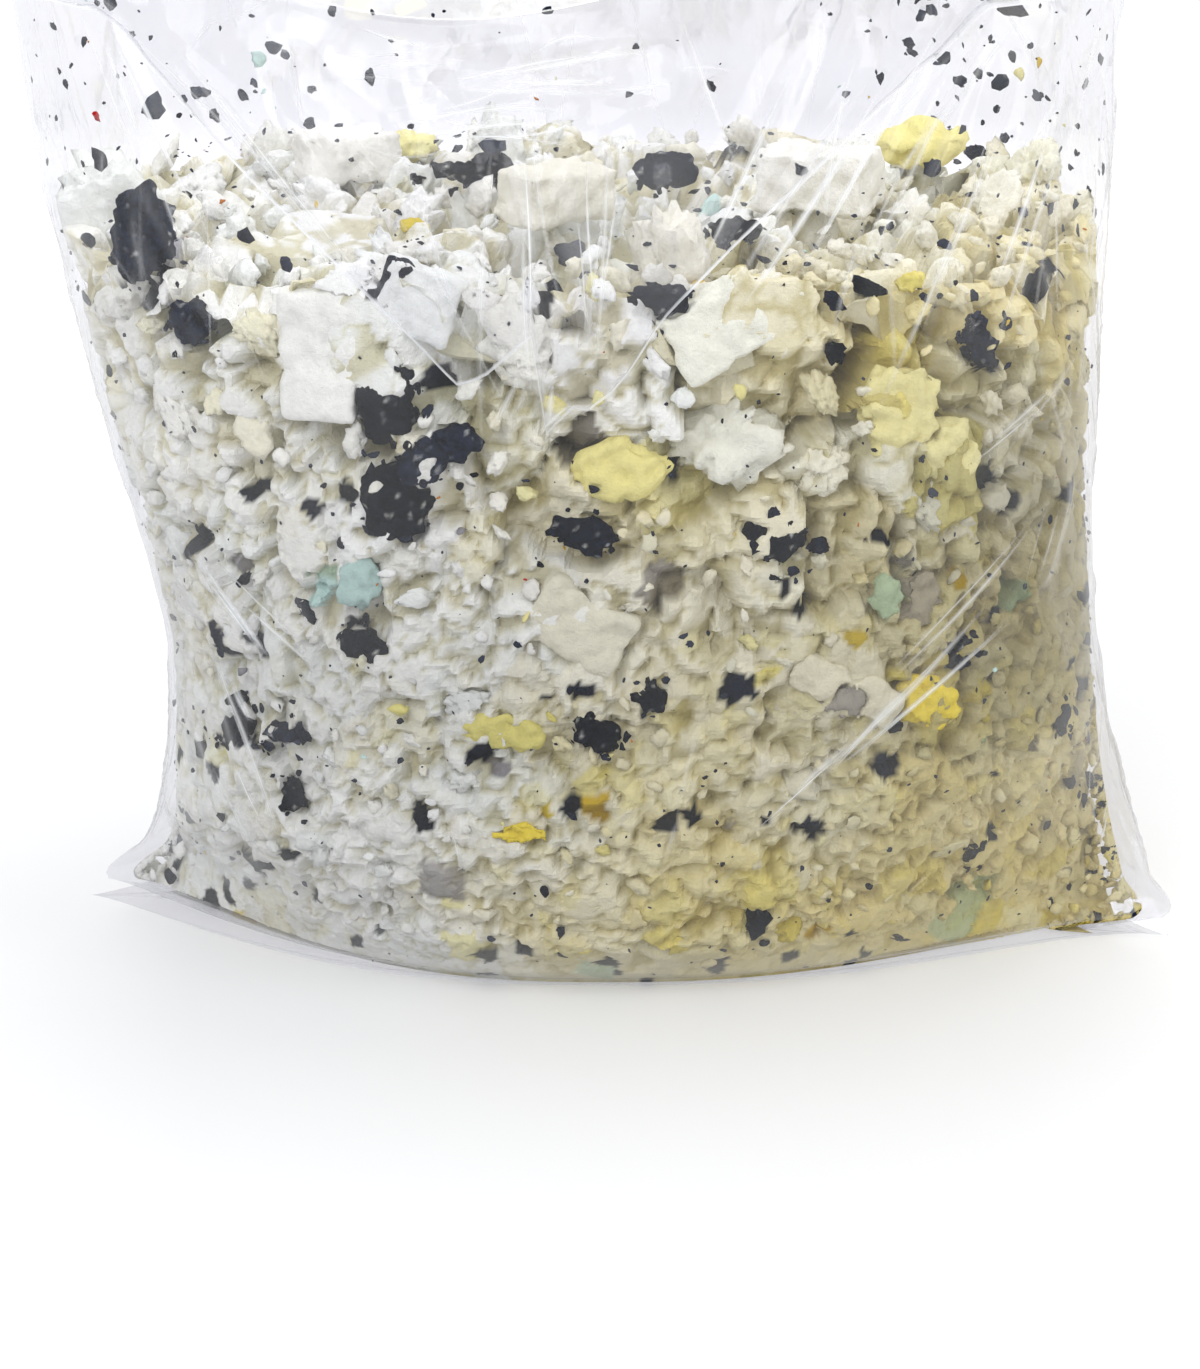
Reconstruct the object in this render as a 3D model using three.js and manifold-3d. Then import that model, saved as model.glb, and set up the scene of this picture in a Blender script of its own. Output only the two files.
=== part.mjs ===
// An open clear film bag, standing on its welded bottom and filled with loose shredded foam.
// Millimetres, +Z up. The front of the bag faces -Y and its width runs along X.
import * as THREE from 'three';
import { mergeVertices } from 'three/addons/utils/BufferGeometryUtils.js';
import Module from 'manifold-3d';

const wasm = await Module();
wasm.setup();

// Film: one blown tube, welded across the bottom, with its mouth turned outward
const FILM = 1.0;
const FILM_GAP = 0.5;
const BAG_HEIGHT = 475;
const MOUTH_DIP = 32;
const MOUTH_DIP_X = -65;
const MOUTH_DIP_WIDTH = 120;
const BACK_DIP = 14;

// Levels at which the bag changes shape
const CREASE_LEVEL = 30;
const FOOT_LEVEL = 70;
const WAIST_LEVEL = 145;
const CHEST_LEVEL = 226;
const HEAP_LEVEL = 345;

// Reach of each side from the middle, from the corner on the floor up to the mouth
const LEFT_CORNER = 252;
const LEFT_CREASE = 223;
const LEFT_FOOT = 209;
const LEFT_WAIST = 204;
const LEFT_CHEST = 221;
const LEFT_SHOULDER = 246;
const LEFT_MOUTH = 266;
const RIGHT_CORNER = 274;
const RIGHT_CREASE = 264;
const RIGHT_FOOT = 251;
const RIGHT_WAIST = 236;
const RIGHT_CHEST = 229;
const RIGHT_SHOULDER = 229;
const RIGHT_MOUTH = 232;

// Reach of the front and the back, from the flat underside up to the mouth
const SOLE_DEPTH = 106;
const CREASE_DEPTH = 136;
const FOOT_DEPTH = 147;
const BELLY_DEPTH = 150;
const SHOULDER_DEPTH = 146;
const MOUTH_FRONT_DEPTH = 116;
const MOUTH_BACK_DEPTH = 124;

// The two bottom corners are pinched flat into pointed ears
const EAR_SHARPNESS = 2.6;
const BODY_ROUNDNESS = 0.78;
const WIDTH_ROUNDNESS = 0.8;
const LEFT_EAR_RISE = 80;
const RIGHT_EAR_RISE = 140;
const RIGHT_EAR_FORWARD = 48;
const EAR_WELD = 20;

// Slack pleats in the empty film over the heap
const PLEATS = 9;
const PLEAT_DEPTH = 5;
const PLEAT_TWIST = 2.2;

// The mouth is turned outward: a narrow cuff behind, and a long point hanging down in front
const CUFF_GAP = 2.5;
const CUFF_RISE = 2.5;
const CUFF_LENGTH = 26;
const POINT_LEVEL = 276;
const POINT_X = -42;
const POINT_SLOPE_LEFT = 1.12;
const POINT_SLOPE_RIGHT = 0.9;
const POINT_STAND_OFF = 3;

// Heap of foam
const HEAP_FRONT = 338;
const HEAP_BACK = 356;
const HEAP_LUMP = 7;
const LUMP_LENGTH = 92;
const HEAP_GRID = 16;

// Shreds big enough to be pieces of their own
const SHRED_GAP = 0.5;
const SHRED_BACKING = 0.3;
const TORN_DEPTH = 0.17;
const CUT_DEPTH = 0.05;

// Fineness of the film's facets
const AROUND = 50;
const SOLE_RINGS = 1;
const CUFF_RINGS = 3;

const COLOURS = {
  film: { color: 0xe4e6ee, roughness: 0.12, transparent: true, opacity: 0.35 },
  fill: { color: 0xe3dfcd, roughness: 0.95 },
  charcoal: { color: 0x2e343f, roughness: 0.95 },
  white: { color: 0xeceee9, roughness: 0.92 },
  cream: { color: 0xe6dfc2, roughness: 0.93 },
  yellow: { color: 0xe0dc9a, roughness: 0.93 },
  gold: { color: 0xc9ac28, roughness: 0.9 },
  mint: { color: 0xbfdcd3, roughness: 0.9 },
  grey: { color: 0x8d8b90, roughness: 0.95 },
};

// Shreds seen through the front and the back film: colour, across, up, width, height, turn in degrees
const FRONT_SHREDS = [
  ['charcoal', -196, 352, 34, 46, 10],
  ['charcoal', -176, 316, 22, 26, 0],
  ['charcoal', -90, 288, 30, 36, 15],
  ['charcoal', -66, 267, 46, 20, -35],
  ['charcoal', -86, 244, 36, 40, 20],
  ['charcoal', -8, 231, 32, 18, 20],
  ['charcoal', 78, 229, 32, 24, 10],
  ['charcoal', 26, 334, 26, 18, 20],
  ['charcoal', 164, 307, 16, 28, -25],
  ['charcoal', -100, 175, 34, 16, 20],
  ['charcoal', 22, 157, 18, 20, 0],
  ['charcoal', 158, 168, 20, 18, 0],
  ['charcoal', -164, 128, 20, 34, 20],
  ['charcoal', -143, 130, 26, 14, 0],
  ['charcoal', -138, 102, 16, 20, 0],
  ['charcoal', 0, 140, 26, 18, 30],
  ['charcoal', 216, 118, 14, 22, 0],
  ['charcoal', 176, 58, 16, 14, 0],
  ['yellow', 10, 259, 46, 30, 0],
  ['yellow', -42, 140, 40, 20, 10],
  ['yellow', 128, 282, 40, 44, 30],
  ['yellow', 150, 262, 32, 30, 0],
  ['gold', 146, 146, 32, 26, 20],
  ['gold', -34, 92, 26, 14, 0],
  ['mint', -104, 205, 22, 26, 0],
  ['mint', 126, 198, 18, 24, 0],
  ['grey', 138, 196, 26, 30, 0],
  ['grey', 106, 152, 24, 16, -20],
  ['white', -118, 306, 34, 56, 0],
  ['white', 50, 320, 44, 34, -30],
  ['white', -76, 330, 34, 30, 20],
  ['white', 108, 158, 54, 20, 28],
  ['cream', -8, 190, 46, 32, 30],
];
const BACK_SHREDS = [
  ['charcoal', -120, 250, 36, 30, 10],
  ['charcoal', 60, 170, 30, 24, 0],
  ['charcoal', 140, 300, 22, 30, 0],
  ['yellow', -40, 280, 44, 34, 20],
  ['gold', 100, 110, 28, 24, 0],
  ['cream', 10, 90, 48, 26, -15],
];

// Shreds lying on top of the heap: colour, across, back, width, depth, turn in degrees
const TOP_SHREDS = [
  ['charcoal', -58, 30, 44, 22, 10],
  ['charcoal', 32, 20, 30, 28, 0],
  ['charcoal', 60, -60, 26, 18, 20],
  ['yellow', -92, 92, 28, 24, 30],
  ['yellow', 150, 40, 46, 34, 0],
  ['gold', -82, -48, 16, 12, 0],
  ['white', -120, 50, 46, 36, 20],
  ['white', 100, -10, 52, 40, -20],
  ['cream', -20, -40, 46, 34, 35],
];

// Smooth curve through [level, reach] stations, its slope at each station taken from its neighbours
function reachAt(stations, level) {
  const last = stations.length - 1;
  const slope = (i) => {
    const before = stations[Math.max(i - 1, 0)];
    const after = stations[Math.min(i + 1, last)];
    return (after[1] - before[1]) / (after[0] - before[0]);
  };
  const clamped = THREE.MathUtils.clamp(level, stations[0][0], stations[last][0]);
  let i = 0;
  while (i < last - 1 && clamped > stations[i + 1][0]) i += 1;
  const span = stations[i + 1][0] - stations[i][0];
  const t = (clamped - stations[i][0]) / span;
  const rise = stations[i + 1][1] - stations[i][1];
  const bendStart = slope(i) * span - rise;
  const bendEnd = rise - slope(i + 1) * span;
  return stations[i][1] + rise * t + t * (1 - t) * (bendStart * (1 - t) + bendEnd * t);
}

const LEFT_SIDE = [
  [0, LEFT_CORNER], [CREASE_LEVEL, LEFT_CREASE], [FOOT_LEVEL, LEFT_FOOT], [WAIST_LEVEL, LEFT_WAIST],
  [CHEST_LEVEL, LEFT_CHEST], [HEAP_LEVEL, LEFT_SHOULDER], [BAG_HEIGHT, LEFT_MOUTH],
];
const RIGHT_SIDE = [
  [0, RIGHT_CORNER], [CREASE_LEVEL, RIGHT_CREASE], [FOOT_LEVEL, RIGHT_FOOT], [WAIST_LEVEL, RIGHT_WAIST],
  [CHEST_LEVEL, RIGHT_CHEST], [HEAP_LEVEL, RIGHT_SHOULDER], [BAG_HEIGHT, RIGHT_MOUTH],
];
const FRONT_SIDE = [
  [0, SOLE_DEPTH], [CREASE_LEVEL, CREASE_DEPTH], [FOOT_LEVEL, FOOT_DEPTH], [WAIST_LEVEL, BELLY_DEPTH],
  [HEAP_LEVEL, SHOULDER_DEPTH], [BAG_HEIGHT, MOUTH_FRONT_DEPTH],
];
const BACK_SIDE = [
  [0, SOLE_DEPTH], [CREASE_LEVEL, CREASE_DEPTH], [FOOT_LEVEL, FOOT_DEPTH], [WAIST_LEVEL, BELLY_DEPTH],
  [HEAP_LEVEL, SHOULDER_DEPTH], [BAG_HEIGHT, MOUTH_BACK_DEPTH],
];

const signedPower = (value, power) => Math.sign(value) * Math.abs(value) ** power;

// Plan point of the bag at an angle and a level, moved inward from the outer face by inset
function filmPoint(angle, level, inset) {
  const right = Math.cos(angle) >= 0;
  const front = Math.sin(angle) < 0;
  const earRise = right ? RIGHT_EAR_RISE : LEFT_EAR_RISE;
  const earShare = 1 - THREE.MathUtils.smoothstep(level, 0, earRise);
  const width = reachAt(right ? RIGHT_SIDE : LEFT_SIDE, level);
  const depth = reachAt(front ? FRONT_SIDE : BACK_SIDE, level);
  const weld = inset > 0 ? EAR_WELD * earShare : 0;
  const sharpness = THREE.MathUtils.lerp(BODY_ROUNDNESS, EAR_SHARPNESS, earShare);
  const slack = THREE.MathUtils.smoothstep(level, HEAP_LEVEL, BAG_HEIGHT);
  const twist = PLEAT_TWIST * Math.sin(2 * angle);
  const pleat = PLEAT_DEPTH * slack * (Math.sin(PLEATS * angle + twist) - 1);
  const across = (width - inset - weld + pleat) * signedPower(Math.cos(angle), WIDTH_ROUNDNESS);
  const forward = right ? RIGHT_EAR_FORWARD * earShare * (across / width) ** 4 : 0;
  const back = (depth - inset + pleat) * signedPower(Math.sin(angle), sharpness) - forward;
  return new THREE.Vector3(across, back, level);
}

// Height of the mouth's fold at an angle: it dips in front and a little behind
function mouthLevel(angle) {
  const across = filmPoint(angle, BAG_HEIGHT, 0).x;
  const front = Math.max(0, -Math.sin(angle));
  const behind = Math.max(0, Math.sin(angle));
  const dip = MOUTH_DIP * Math.exp(-(((across - MOUTH_DIP_X) / MOUTH_DIP_WIDTH) ** 2)) * Math.sqrt(front);
  return BAG_HEIGHT - dip - BACK_DIP * behind;
}

// Height of the turned-out hem: a short cuff all round, with a long point hanging in front
function hemLevel(angle) {
  const cuffHem = mouthLevel(angle) - CUFF_LENGTH;
  if (Math.sin(angle) >= 0) return cuffHem;
  const across = filmPoint(angle, POINT_LEVEL, 0).x - POINT_X;
  const slope = across < 0 ? POINT_SLOPE_LEFT : POINT_SLOPE_RIGHT;
  return Math.min(cuffHem, POINT_LEVEL + slope * Math.abs(across));
}

// A lathe turned from the profile, then pressed from a round tube into the shape that place gives it
function pressedLathe(profile, place) {
  const outline = profile.map((station, i) => new THREE.Vector2(station.share, i));
  const geometry = new THREE.LatheGeometry(outline, AROUND);
  const position = geometry.attributes.position;
  for (let i = 0; i < position.count; i += 1) {
    const station = profile[i % profile.length];
    const turn = Math.floor(i / profile.length) % AROUND;
    const spot = place(station, (turn / AROUND) * 2 * Math.PI);
    position.setXYZ(i, spot.x, spot.y, spot.z);
  }
  return geometry;
}

function plainBody(geometry) {
  const bare = geometry.clone();
  bare.deleteAttribute('normal');
  bare.deleteAttribute('uv');
  return mergeVertices(bare, 1e-4);
}

function toSolid(geometry) {
  const body = plainBody(geometry);
  const triVerts = new Uint32Array(body.index.array);
  const vertProperties = new Float32Array(body.attributes.position.array);
  return new wasm.Manifold(new wasm.Mesh({ numProp: 3, vertProperties, triVerts }));
}

function toGeometry(solid) {
  const mesh = solid.getMesh();
  const geometry = new THREE.BufferGeometry();
  geometry.setAttribute('position', new THREE.BufferAttribute(mesh.vertProperties, 3));
  geometry.setIndex(new THREE.BufferAttribute(mesh.triVerts, 1));
  geometry.computeVertexNormals();
  return geometry;
}

function turnInsideOut(geometry) {
  const index = geometry.index.array;
  for (let i = 0; i < index.length; i += 3) {
    [index[i], index[i + 1]] = [index[i + 1], index[i]];
  }
  return geometry;
}

// Levels shared by the film and what it holds, so that their facets run side by side
const WALL_LEVELS = [0, 9, CREASE_LEVEL, FOOT_LEVEL, 105, WAIST_LEVEL, 185, CHEST_LEVEL, 285, HEAP_LEVEL];
const SLACK_SHARES = [0.35, 0.7, 1];

// Stations of a face that starts in the middle of the sole and climbs to the mouth
function faceStations(inset) {
  const stations = [];
  for (let ring = 0; ring <= SOLE_RINGS; ring += 1) {
    stations.push({ inset, share: ring / (SOLE_RINGS + 1), level: inset });
  }
  for (const level of WALL_LEVELS) {
    stations.push({ inset, share: 1, level: Math.max(level, inset) });
  }
  for (const slack of SLACK_SHARES) {
    stations.push({ inset, share: 1, level: HEAP_LEVEL, slack });
  }
  return stations;
}

function placeFace(station, angle) {
  const level = THREE.MathUtils.lerp(station.level, mouthLevel(angle), station.slack ?? 0);
  const spot = filmPoint(angle, level, station.inset);
  spot.x *= station.share;
  spot.y *= station.share;
  return spot;
}

// The turned-out cuff: over the fold, down to the hem and back up the other side of the sheet
function cuffStations() {
  const outward = [];
  for (let ring = 0; ring <= CUFF_RINGS; ring += 1) {
    outward.push({ share: 1, stand: CUFF_GAP, down: ring / CUFF_RINGS });
  }
  const inward = [...outward].reverse();
  const outerSkin = inward.map((ring) => ({ ...ring, stand: CUFF_GAP + FILM }));
  return { underside: outward, outside: outerSkin };
}

function placeCuff(station, angle) {
  const top = mouthLevel(angle);
  const level = THREE.MathUtils.lerp(top, hemLevel(angle), station.down);
  const sag = POINT_STAND_OFF * Math.sin(Math.PI * station.down);
  return filmPoint(angle, level, -(station.stand + sag));
}

function placeFilm(station, angle) {
  if (station.down !== undefined) return placeCuff(station, angle);
  if (station.crest === undefined) return placeFace(station, angle);
  const spot = filmPoint(angle, mouthLevel(angle), station.inset);
  spot.z += station.crest;
  return spot;
}

function makeFilm() {
  const cuff = cuffStations();
  const outerFace = faceStations(0);
  const innerFace = faceStations(FILM).reverse();
  const crest = [
    { share: 1, inset: -CUFF_GAP, crest: CUFF_RISE + FILM },
    { share: 1, inset: FILM, crest: CUFF_RISE + FILM },
  ];
  const underCrest = { share: 1, inset: -CUFF_GAP, crest: CUFF_RISE };
  const profile = [...outerFace, underCrest, ...cuff.underside, ...cuff.outside, ...crest, ...innerFace];
  return pressedLathe(profile, placeFilm);
}

// Everything inside the film, less the film gap
function makeInside() {
  const inset = FILM + FILM_GAP;
  const profile = faceStations(inset).reverse();
  profile.unshift({ inset, share: 0, level: BAG_HEIGHT - MOUTH_DIP });
  return turnInsideOut(pressedLathe(profile, placeFace));
}

function heapTop(x, y) {
  const back = THREE.MathUtils.smoothstep(y, -SHOULDER_DEPTH, SHOULDER_DEPTH);
  const wave = (2 * Math.PI) / LUMP_LENGTH;
  const lump = Math.sin(wave * x + 0.6) * Math.cos(wave * y * 1.3) + 0.5 * Math.sin(wave * (x - y) * 1.7);
  return THREE.MathUtils.lerp(HEAP_FRONT, HEAP_BACK, back) + HEAP_LUMP * lump;
}

// A block reaching up to the lumpy top of the heap
function makeUnderHeap() {
  const wide = 2 * Math.max(LEFT_MOUTH, RIGHT_CORNER) + 20;
  const deep = 2 * BELLY_DEPTH + 20;
  const block = new THREE.BoxGeometry(wide, deep, HEAP_FRONT, HEAP_GRID, Math.round(HEAP_GRID / 2), 1);
  const position = block.attributes.position;
  for (let i = 0; i < position.count; i += 1) {
    const onTop = position.getZ(i) > 0;
    const level = onTop ? heapTop(position.getX(i), position.getY(i)) : 0;
    position.setZ(i, level);
  }
  return block;
}

// How far forward or back the inside of the film lies at a place across and up
function faceDepth(across, level, front) {
  let low = 0;
  let high = Math.PI;
  const inset = FILM + FILM_GAP;
  for (let step = 0; step < 30; step += 1) {
    const middle = (low + high) / 2;
    const angle = front ? -middle : middle;
    if (filmPoint(angle, level, inset).x > across) low = middle;
    else high = middle;
  }
  return filmPoint(front ? -low : low, level, inset).y;
}

// A torn scrap is a lumpy ball and a cut one a slightly uneven block, one unit across
function scrapShape(seed, cut) {
  const shape = cut ? new THREE.BoxGeometry(1, 1, 1, 2, 2, 2) : new THREE.IcosahedronGeometry(0.5, 1);
  const depth = cut ? CUT_DEPTH : TORN_DEPTH;
  const position = shape.attributes.position;
  for (let i = 0; i < position.count; i += 1) {
    const spot = new THREE.Vector3().fromBufferAttribute(position, i);
    const way = spot.clone().normalize();
    const coarse = Math.sin(5 * way.x + seed) * Math.cos(4 * way.z + 2 * seed);
    const fine = Math.sin(9 * way.y + 3 * seed) * Math.cos(8 * way.x - seed);
    spot.multiplyScalar(1 + depth * (coarse + fine));
    position.setXYZ(i, spot.x, spot.y, spot.z);
  }
  return shape;
}

function scrapSolid(shape, size, turn, centre, extra) {
  const placed = shape.clone();
  placed.scale(size.x + 2 * extra, size.y + 2 * extra, size.z + 2 * extra);
  placed.rotateY(THREE.MathUtils.degToRad(turn.y));
  placed.rotateZ(THREE.MathUtils.degToRad(turn.z));
  placed.translate(centre.x, centre.y, centre.z);
  return toSolid(placed);
}

const group = new THREE.Group();
const inside = toSolid(makeInside());
let heap = inside.intersect(toSolid(makeUnderHeap()));
let taken = null;
const counts = {};

function addMesh(name, geometry, look) {
  const mesh = new THREE.Mesh(geometry, new THREE.MeshStandardMaterial({ metalness: 0, ...COLOURS[look] }));
  mesh.name = name;
  group.add(mesh);
}

function largestPiece(solid) {
  const pieces = solid.decompose();
  return pieces.reduce((best, piece) => (piece.volume() > best.volume() ? piece : best));
}

// A shred keeps inside the film and clear of the shreds placed before it, and presses its own pocket in the heap
function addShred(look, size, turn, centre) {
  counts[look] = (counts[look] ?? 0) + 1;
  const seed = group.children.length + 1;
  const shape = scrapShape(seed, look === 'white' || look === 'cream');
  let shred = scrapSolid(shape, size, turn, centre, 0).intersect(inside);
  if (taken) shred = shred.subtract(taken);
  const pocket = scrapSolid(shape, size, turn, centre, SHRED_GAP);
  heap = heap.subtract(pocket);
  taken = taken ? taken.add(pocket) : pocket;
  addMesh(`${look}_shred_${counts[look]}`, toGeometry(largestPiece(shred)), look);
}

function addWallShreds(rows, front) {
  for (const [look, across, level, width, height, turn] of rows) {
    const thick = 0.7 * Math.min(width, height);
    const face = faceDepth(across, level, front);
    const back = face + (front ? 1 : -1) * SHRED_BACKING * thick;
    const size = new THREE.Vector3(width, thick, height);
    addShred(look, size, { y: turn, z: 0 }, new THREE.Vector3(across, back, level));
  }
}

function addTopShreds() {
  for (const [look, across, back, width, deep, turn] of TOP_SHREDS) {
    const thick = 0.7 * Math.min(width, deep);
    const size = new THREE.Vector3(width, deep, thick);
    const level = heapTop(across, back) + SHRED_BACKING * thick;
    addShred(look, size, { y: 0, z: turn }, new THREE.Vector3(across, back, level));
  }
}

addMesh('bag_film', makeFilm(), 'film');
addWallShreds(FRONT_SHREDS, true);
addWallShreds(BACK_SHREDS, false);
addTopShreds();
addMesh('foam_fill', toGeometry(largestPiece(heap)), 'fill');

// The origin is under the middle of the whole bag
group.updateMatrixWorld(true);
const middle = new THREE.Box3().setFromObject(group).getCenter(new THREE.Vector3());
group.position.set(-middle.x, -middle.y, 0);

export default group;
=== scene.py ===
# The open clear bag of shredded foam: film, small shreds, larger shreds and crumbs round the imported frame.
import math

import bmesh
import bpy
import numpy as np
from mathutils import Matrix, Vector, noise
from mathutils.bvhtree import BVHTree
from mathutils.kdtree import KDTree


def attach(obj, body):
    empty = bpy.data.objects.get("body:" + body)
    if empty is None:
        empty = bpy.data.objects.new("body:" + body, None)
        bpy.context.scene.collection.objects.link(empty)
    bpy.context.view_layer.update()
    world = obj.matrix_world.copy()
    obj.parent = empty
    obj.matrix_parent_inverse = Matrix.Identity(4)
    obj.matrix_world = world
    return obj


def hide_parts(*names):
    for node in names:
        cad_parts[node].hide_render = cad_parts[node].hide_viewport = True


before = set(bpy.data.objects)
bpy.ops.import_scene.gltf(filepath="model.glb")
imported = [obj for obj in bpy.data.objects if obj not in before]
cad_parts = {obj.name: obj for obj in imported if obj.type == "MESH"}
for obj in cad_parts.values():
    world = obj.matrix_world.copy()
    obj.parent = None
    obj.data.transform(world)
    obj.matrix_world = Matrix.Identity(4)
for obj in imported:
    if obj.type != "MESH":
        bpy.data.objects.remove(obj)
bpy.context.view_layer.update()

MM = 0.001
FILM_NODE = "bag_film"
FILL_NODE = "foam_fill"
shred_nodes = sorted(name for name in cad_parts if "_shred_" in name)
noise.seed_set(1)        # without it, noise.noise_vector differs from run to run

# Camera, from the photograph's frame of 1200 by 1369 pixels
FRAME_LONG_SIDE = 1369
FOCAL_PIXELS = 3100
SENSOR = 36.0
CAMERA_DISTANCE = 1.5
CAMERA_ELEVATION = math.radians(20)
CAMERA_AIM = Vector((-0.0021, 0.0, 0.111))

# The bag's plan shape, as in the frame
EAR_SHARPNESS = 2.6
BODY_ROUNDNESS = 0.78
WIDTH_ROUNDNESS = 0.8
LEFT_EAR_RISE = 80 * MM
RIGHT_EAR_RISE = 140 * MM
RIGHT_EAR_FORWARD = 48 * MM
HEAP_LEVEL = 345 * MM

# Palette of the foam, in display values from 0 to 1
WHITES = [(0.97, 0.975, 0.955), (0.975, 0.972, 0.945), (0.965, 0.957, 0.925), (0.985, 0.982, 0.965)]
CREAMS = [(0.965, 0.95, 0.885), (0.96, 0.94, 0.85), (0.95, 0.93, 0.82)]
YELLOWS = [(0.96, 0.93, 0.66), (0.94, 0.90, 0.55), (0.96, 0.94, 0.74)]
GOLDS = [(0.84, 0.72, 0.18), (0.88, 0.79, 0.28)]
CHARCOALS = [(0.055, 0.075, 0.12), (0.08, 0.10, 0.155), (0.04, 0.055, 0.085)]
MINTS = [(0.76, 0.87, 0.84)]
GREYS = [(0.58, 0.57, 0.59), (0.70, 0.69, 0.71)]
PALETTE = {
    "fill": WHITES, "white": WHITES, "cream": CREAMS, "yellow": YELLOWS, "gold": GOLDS,
    "charcoal": CHARCOALS, "mint": MINTS, "grey": GREYS,
}
# Partly real yellowing and partly painted shade: this tint yellows and darkens the foam to the right and low
# down
SHADE_TINT = np.array((0.945, 0.895, 0.69))
KINDS = ("white", "cream", "yellow", "gold", "charcoal", "mint", "grey")
OWN_COLOUR_KINDS = ("charcoal", "gold", "mint", "grey")
MINT_SHARE = 0.003
GREY_SHARE = 0.004

# How the foam changes with the level, in metres, and the painted shade by level and in the right flank,
# halfway up
LEVELS = (0, 0.16, 0.27, 0.35)
LEVEL_SHADES = (0.93, 0.87, 0.97, 1.0)
FLANK_LEVELS = (0.09, 0.15, 0.24, 0.30)
FLANK_EDGE = (0.07, 0.19)

# Packed foam: the torn chunks and the smaller scraps that the heap's face is broken into
PACKED_VOXEL = 2.05 * MM
CHUNK_SIZES = (0.016, 0.021, 0.033, 0.046)
SCRAP_SIZES = (0.0065, 0.0080, 0.012, 0.016)
SITE_CANDIDATES = (9000, 30000)
SITE_SPACING = 0.62
POCKET_FILL = 1.04
NORMAL_PASSES = 5
SHAPE_PASSES = 1
# Painted shade: how much darker, and yellower, the faces sunk between the scraps are painted
GAP_SHADE = np.array((0.13, 0.15, 0.25))
# Painted shade in the right flank, halfway up
RIGHT_SHADE = 0.20
PACKED_INSET = 1.1 * MM
FOOT_SPREAD = 2.0 * MM
CHUNK_BLEND = 0.72
DARK_SCRAP_SHARE = 0.035
SOLE_CLEARANCE = 1.6 * MM
SPLIT_WIDTH = 0.20
SPLIT_DEPTH = 0.20
STEP_DEPTH = 0.26
TILT = 0.42
TILT_DEPTH = 0.2
WARP = 0.42

# Loose shreds, torn bits and the shreds in the bag's two lower corners
FORMS_PER_LEVEL = 26
FINE_FROM = 23 * MM
MEDIUM_FROM = 9.5 * MM
LOOSE_CANDIDATES = 2150
LARGE_SIZES = (0.017, 0.020, 0.027, 0.036)
SMALL_SIZES = (0.007, 0.008, 0.010, 0.013)
LARGE_SHARE = 0.12
BITS_PER_SHRED = 13
EAR_SHREDS = 110
EAR_SIZES = (4 * MM, 10 * MM)
LEFT_EAR = (-1, 0.055, EAR_SHREDS)
RIGHT_EAR = (1, 0.150, 3 * EAR_SHREDS)
EAR_REACH = (0.205, 0.262)
TOP_NORMAL = 0.6
DARK_SHARE = 0.09
LOOSE_INSET = 2.3 * MM
EAR_WELD = 12 * MM
PIECE_LIMIT = 190000

# Larger shreds
LARGE_VOXEL = 1.9 * MM
CUT_KINDS = ("white", "cream")
ROUNDING_PASSES = {"cut": 14, "torn": 5}

# Film: rows up the sole, wall, fold and turned-out front, and how it hangs
COLUMNS = 360
SOLE_ROWS = 6
WALL_ROWS = 160
FOLD_ROWS = 5
CUFF_ROWS = 36
FRONT_SHARE = 0.56
FOLD_RADIUS = 1.6 * MM
PUSH_LIMIT = 7 * MM
# Painted highlight: the hem's edge painted white as a bright line
HEM_HIGHLIGHT = 0.85
HEM_WIDTH = 0.9 * MM
HEM_CHECK_LEVEL = 300 * MM
# Painted highlights: how white the film is painted along the ridges of the front's creases
FRONT_CREASE_HIGHLIGHT = 0.12
EAR_MILK = 0.28
EAR_MILK_REACH = (0.222, 0.262)
EAR_MILK_RISE = 0.09
# Painted highlight along the ridges of the random creases
CREASE_HIGHLIGHT = 0.06
HEM_TIP = (-26, 283)
TIP_MILK = 0.35
TIP_REACH = (7 * MM, 13 * MM)
MOUTH_DIP = 32 * MM
MOUTH_DIP_X = -67 * MM
MOUTH_DIP_WIDTH = 120 * MM
BACK_DIP = 14 * MM
MOUTH_LEVEL = 475 * MM
CUFF_LENGTH = 26 * MM
CUFF_STAND = 3.4 * MM
CUFF_BILLOW = 2 * MM
SOLE, WALL, FOLD, CUFF = range(4)

# The turned-out front's hem, from its left end to its right: across and up, in millimetres
HEM = [(-262, 449), (-196, 447), (-135, 376), (-61, 297), (-50, 301), (-30, 318), (-40, 274), (-28, 273),
       (-15, 288), (-5, 287), (8, 300), (23, 325), (53, 356), (113, 409), (160, 447), (232, 449)]

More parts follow.
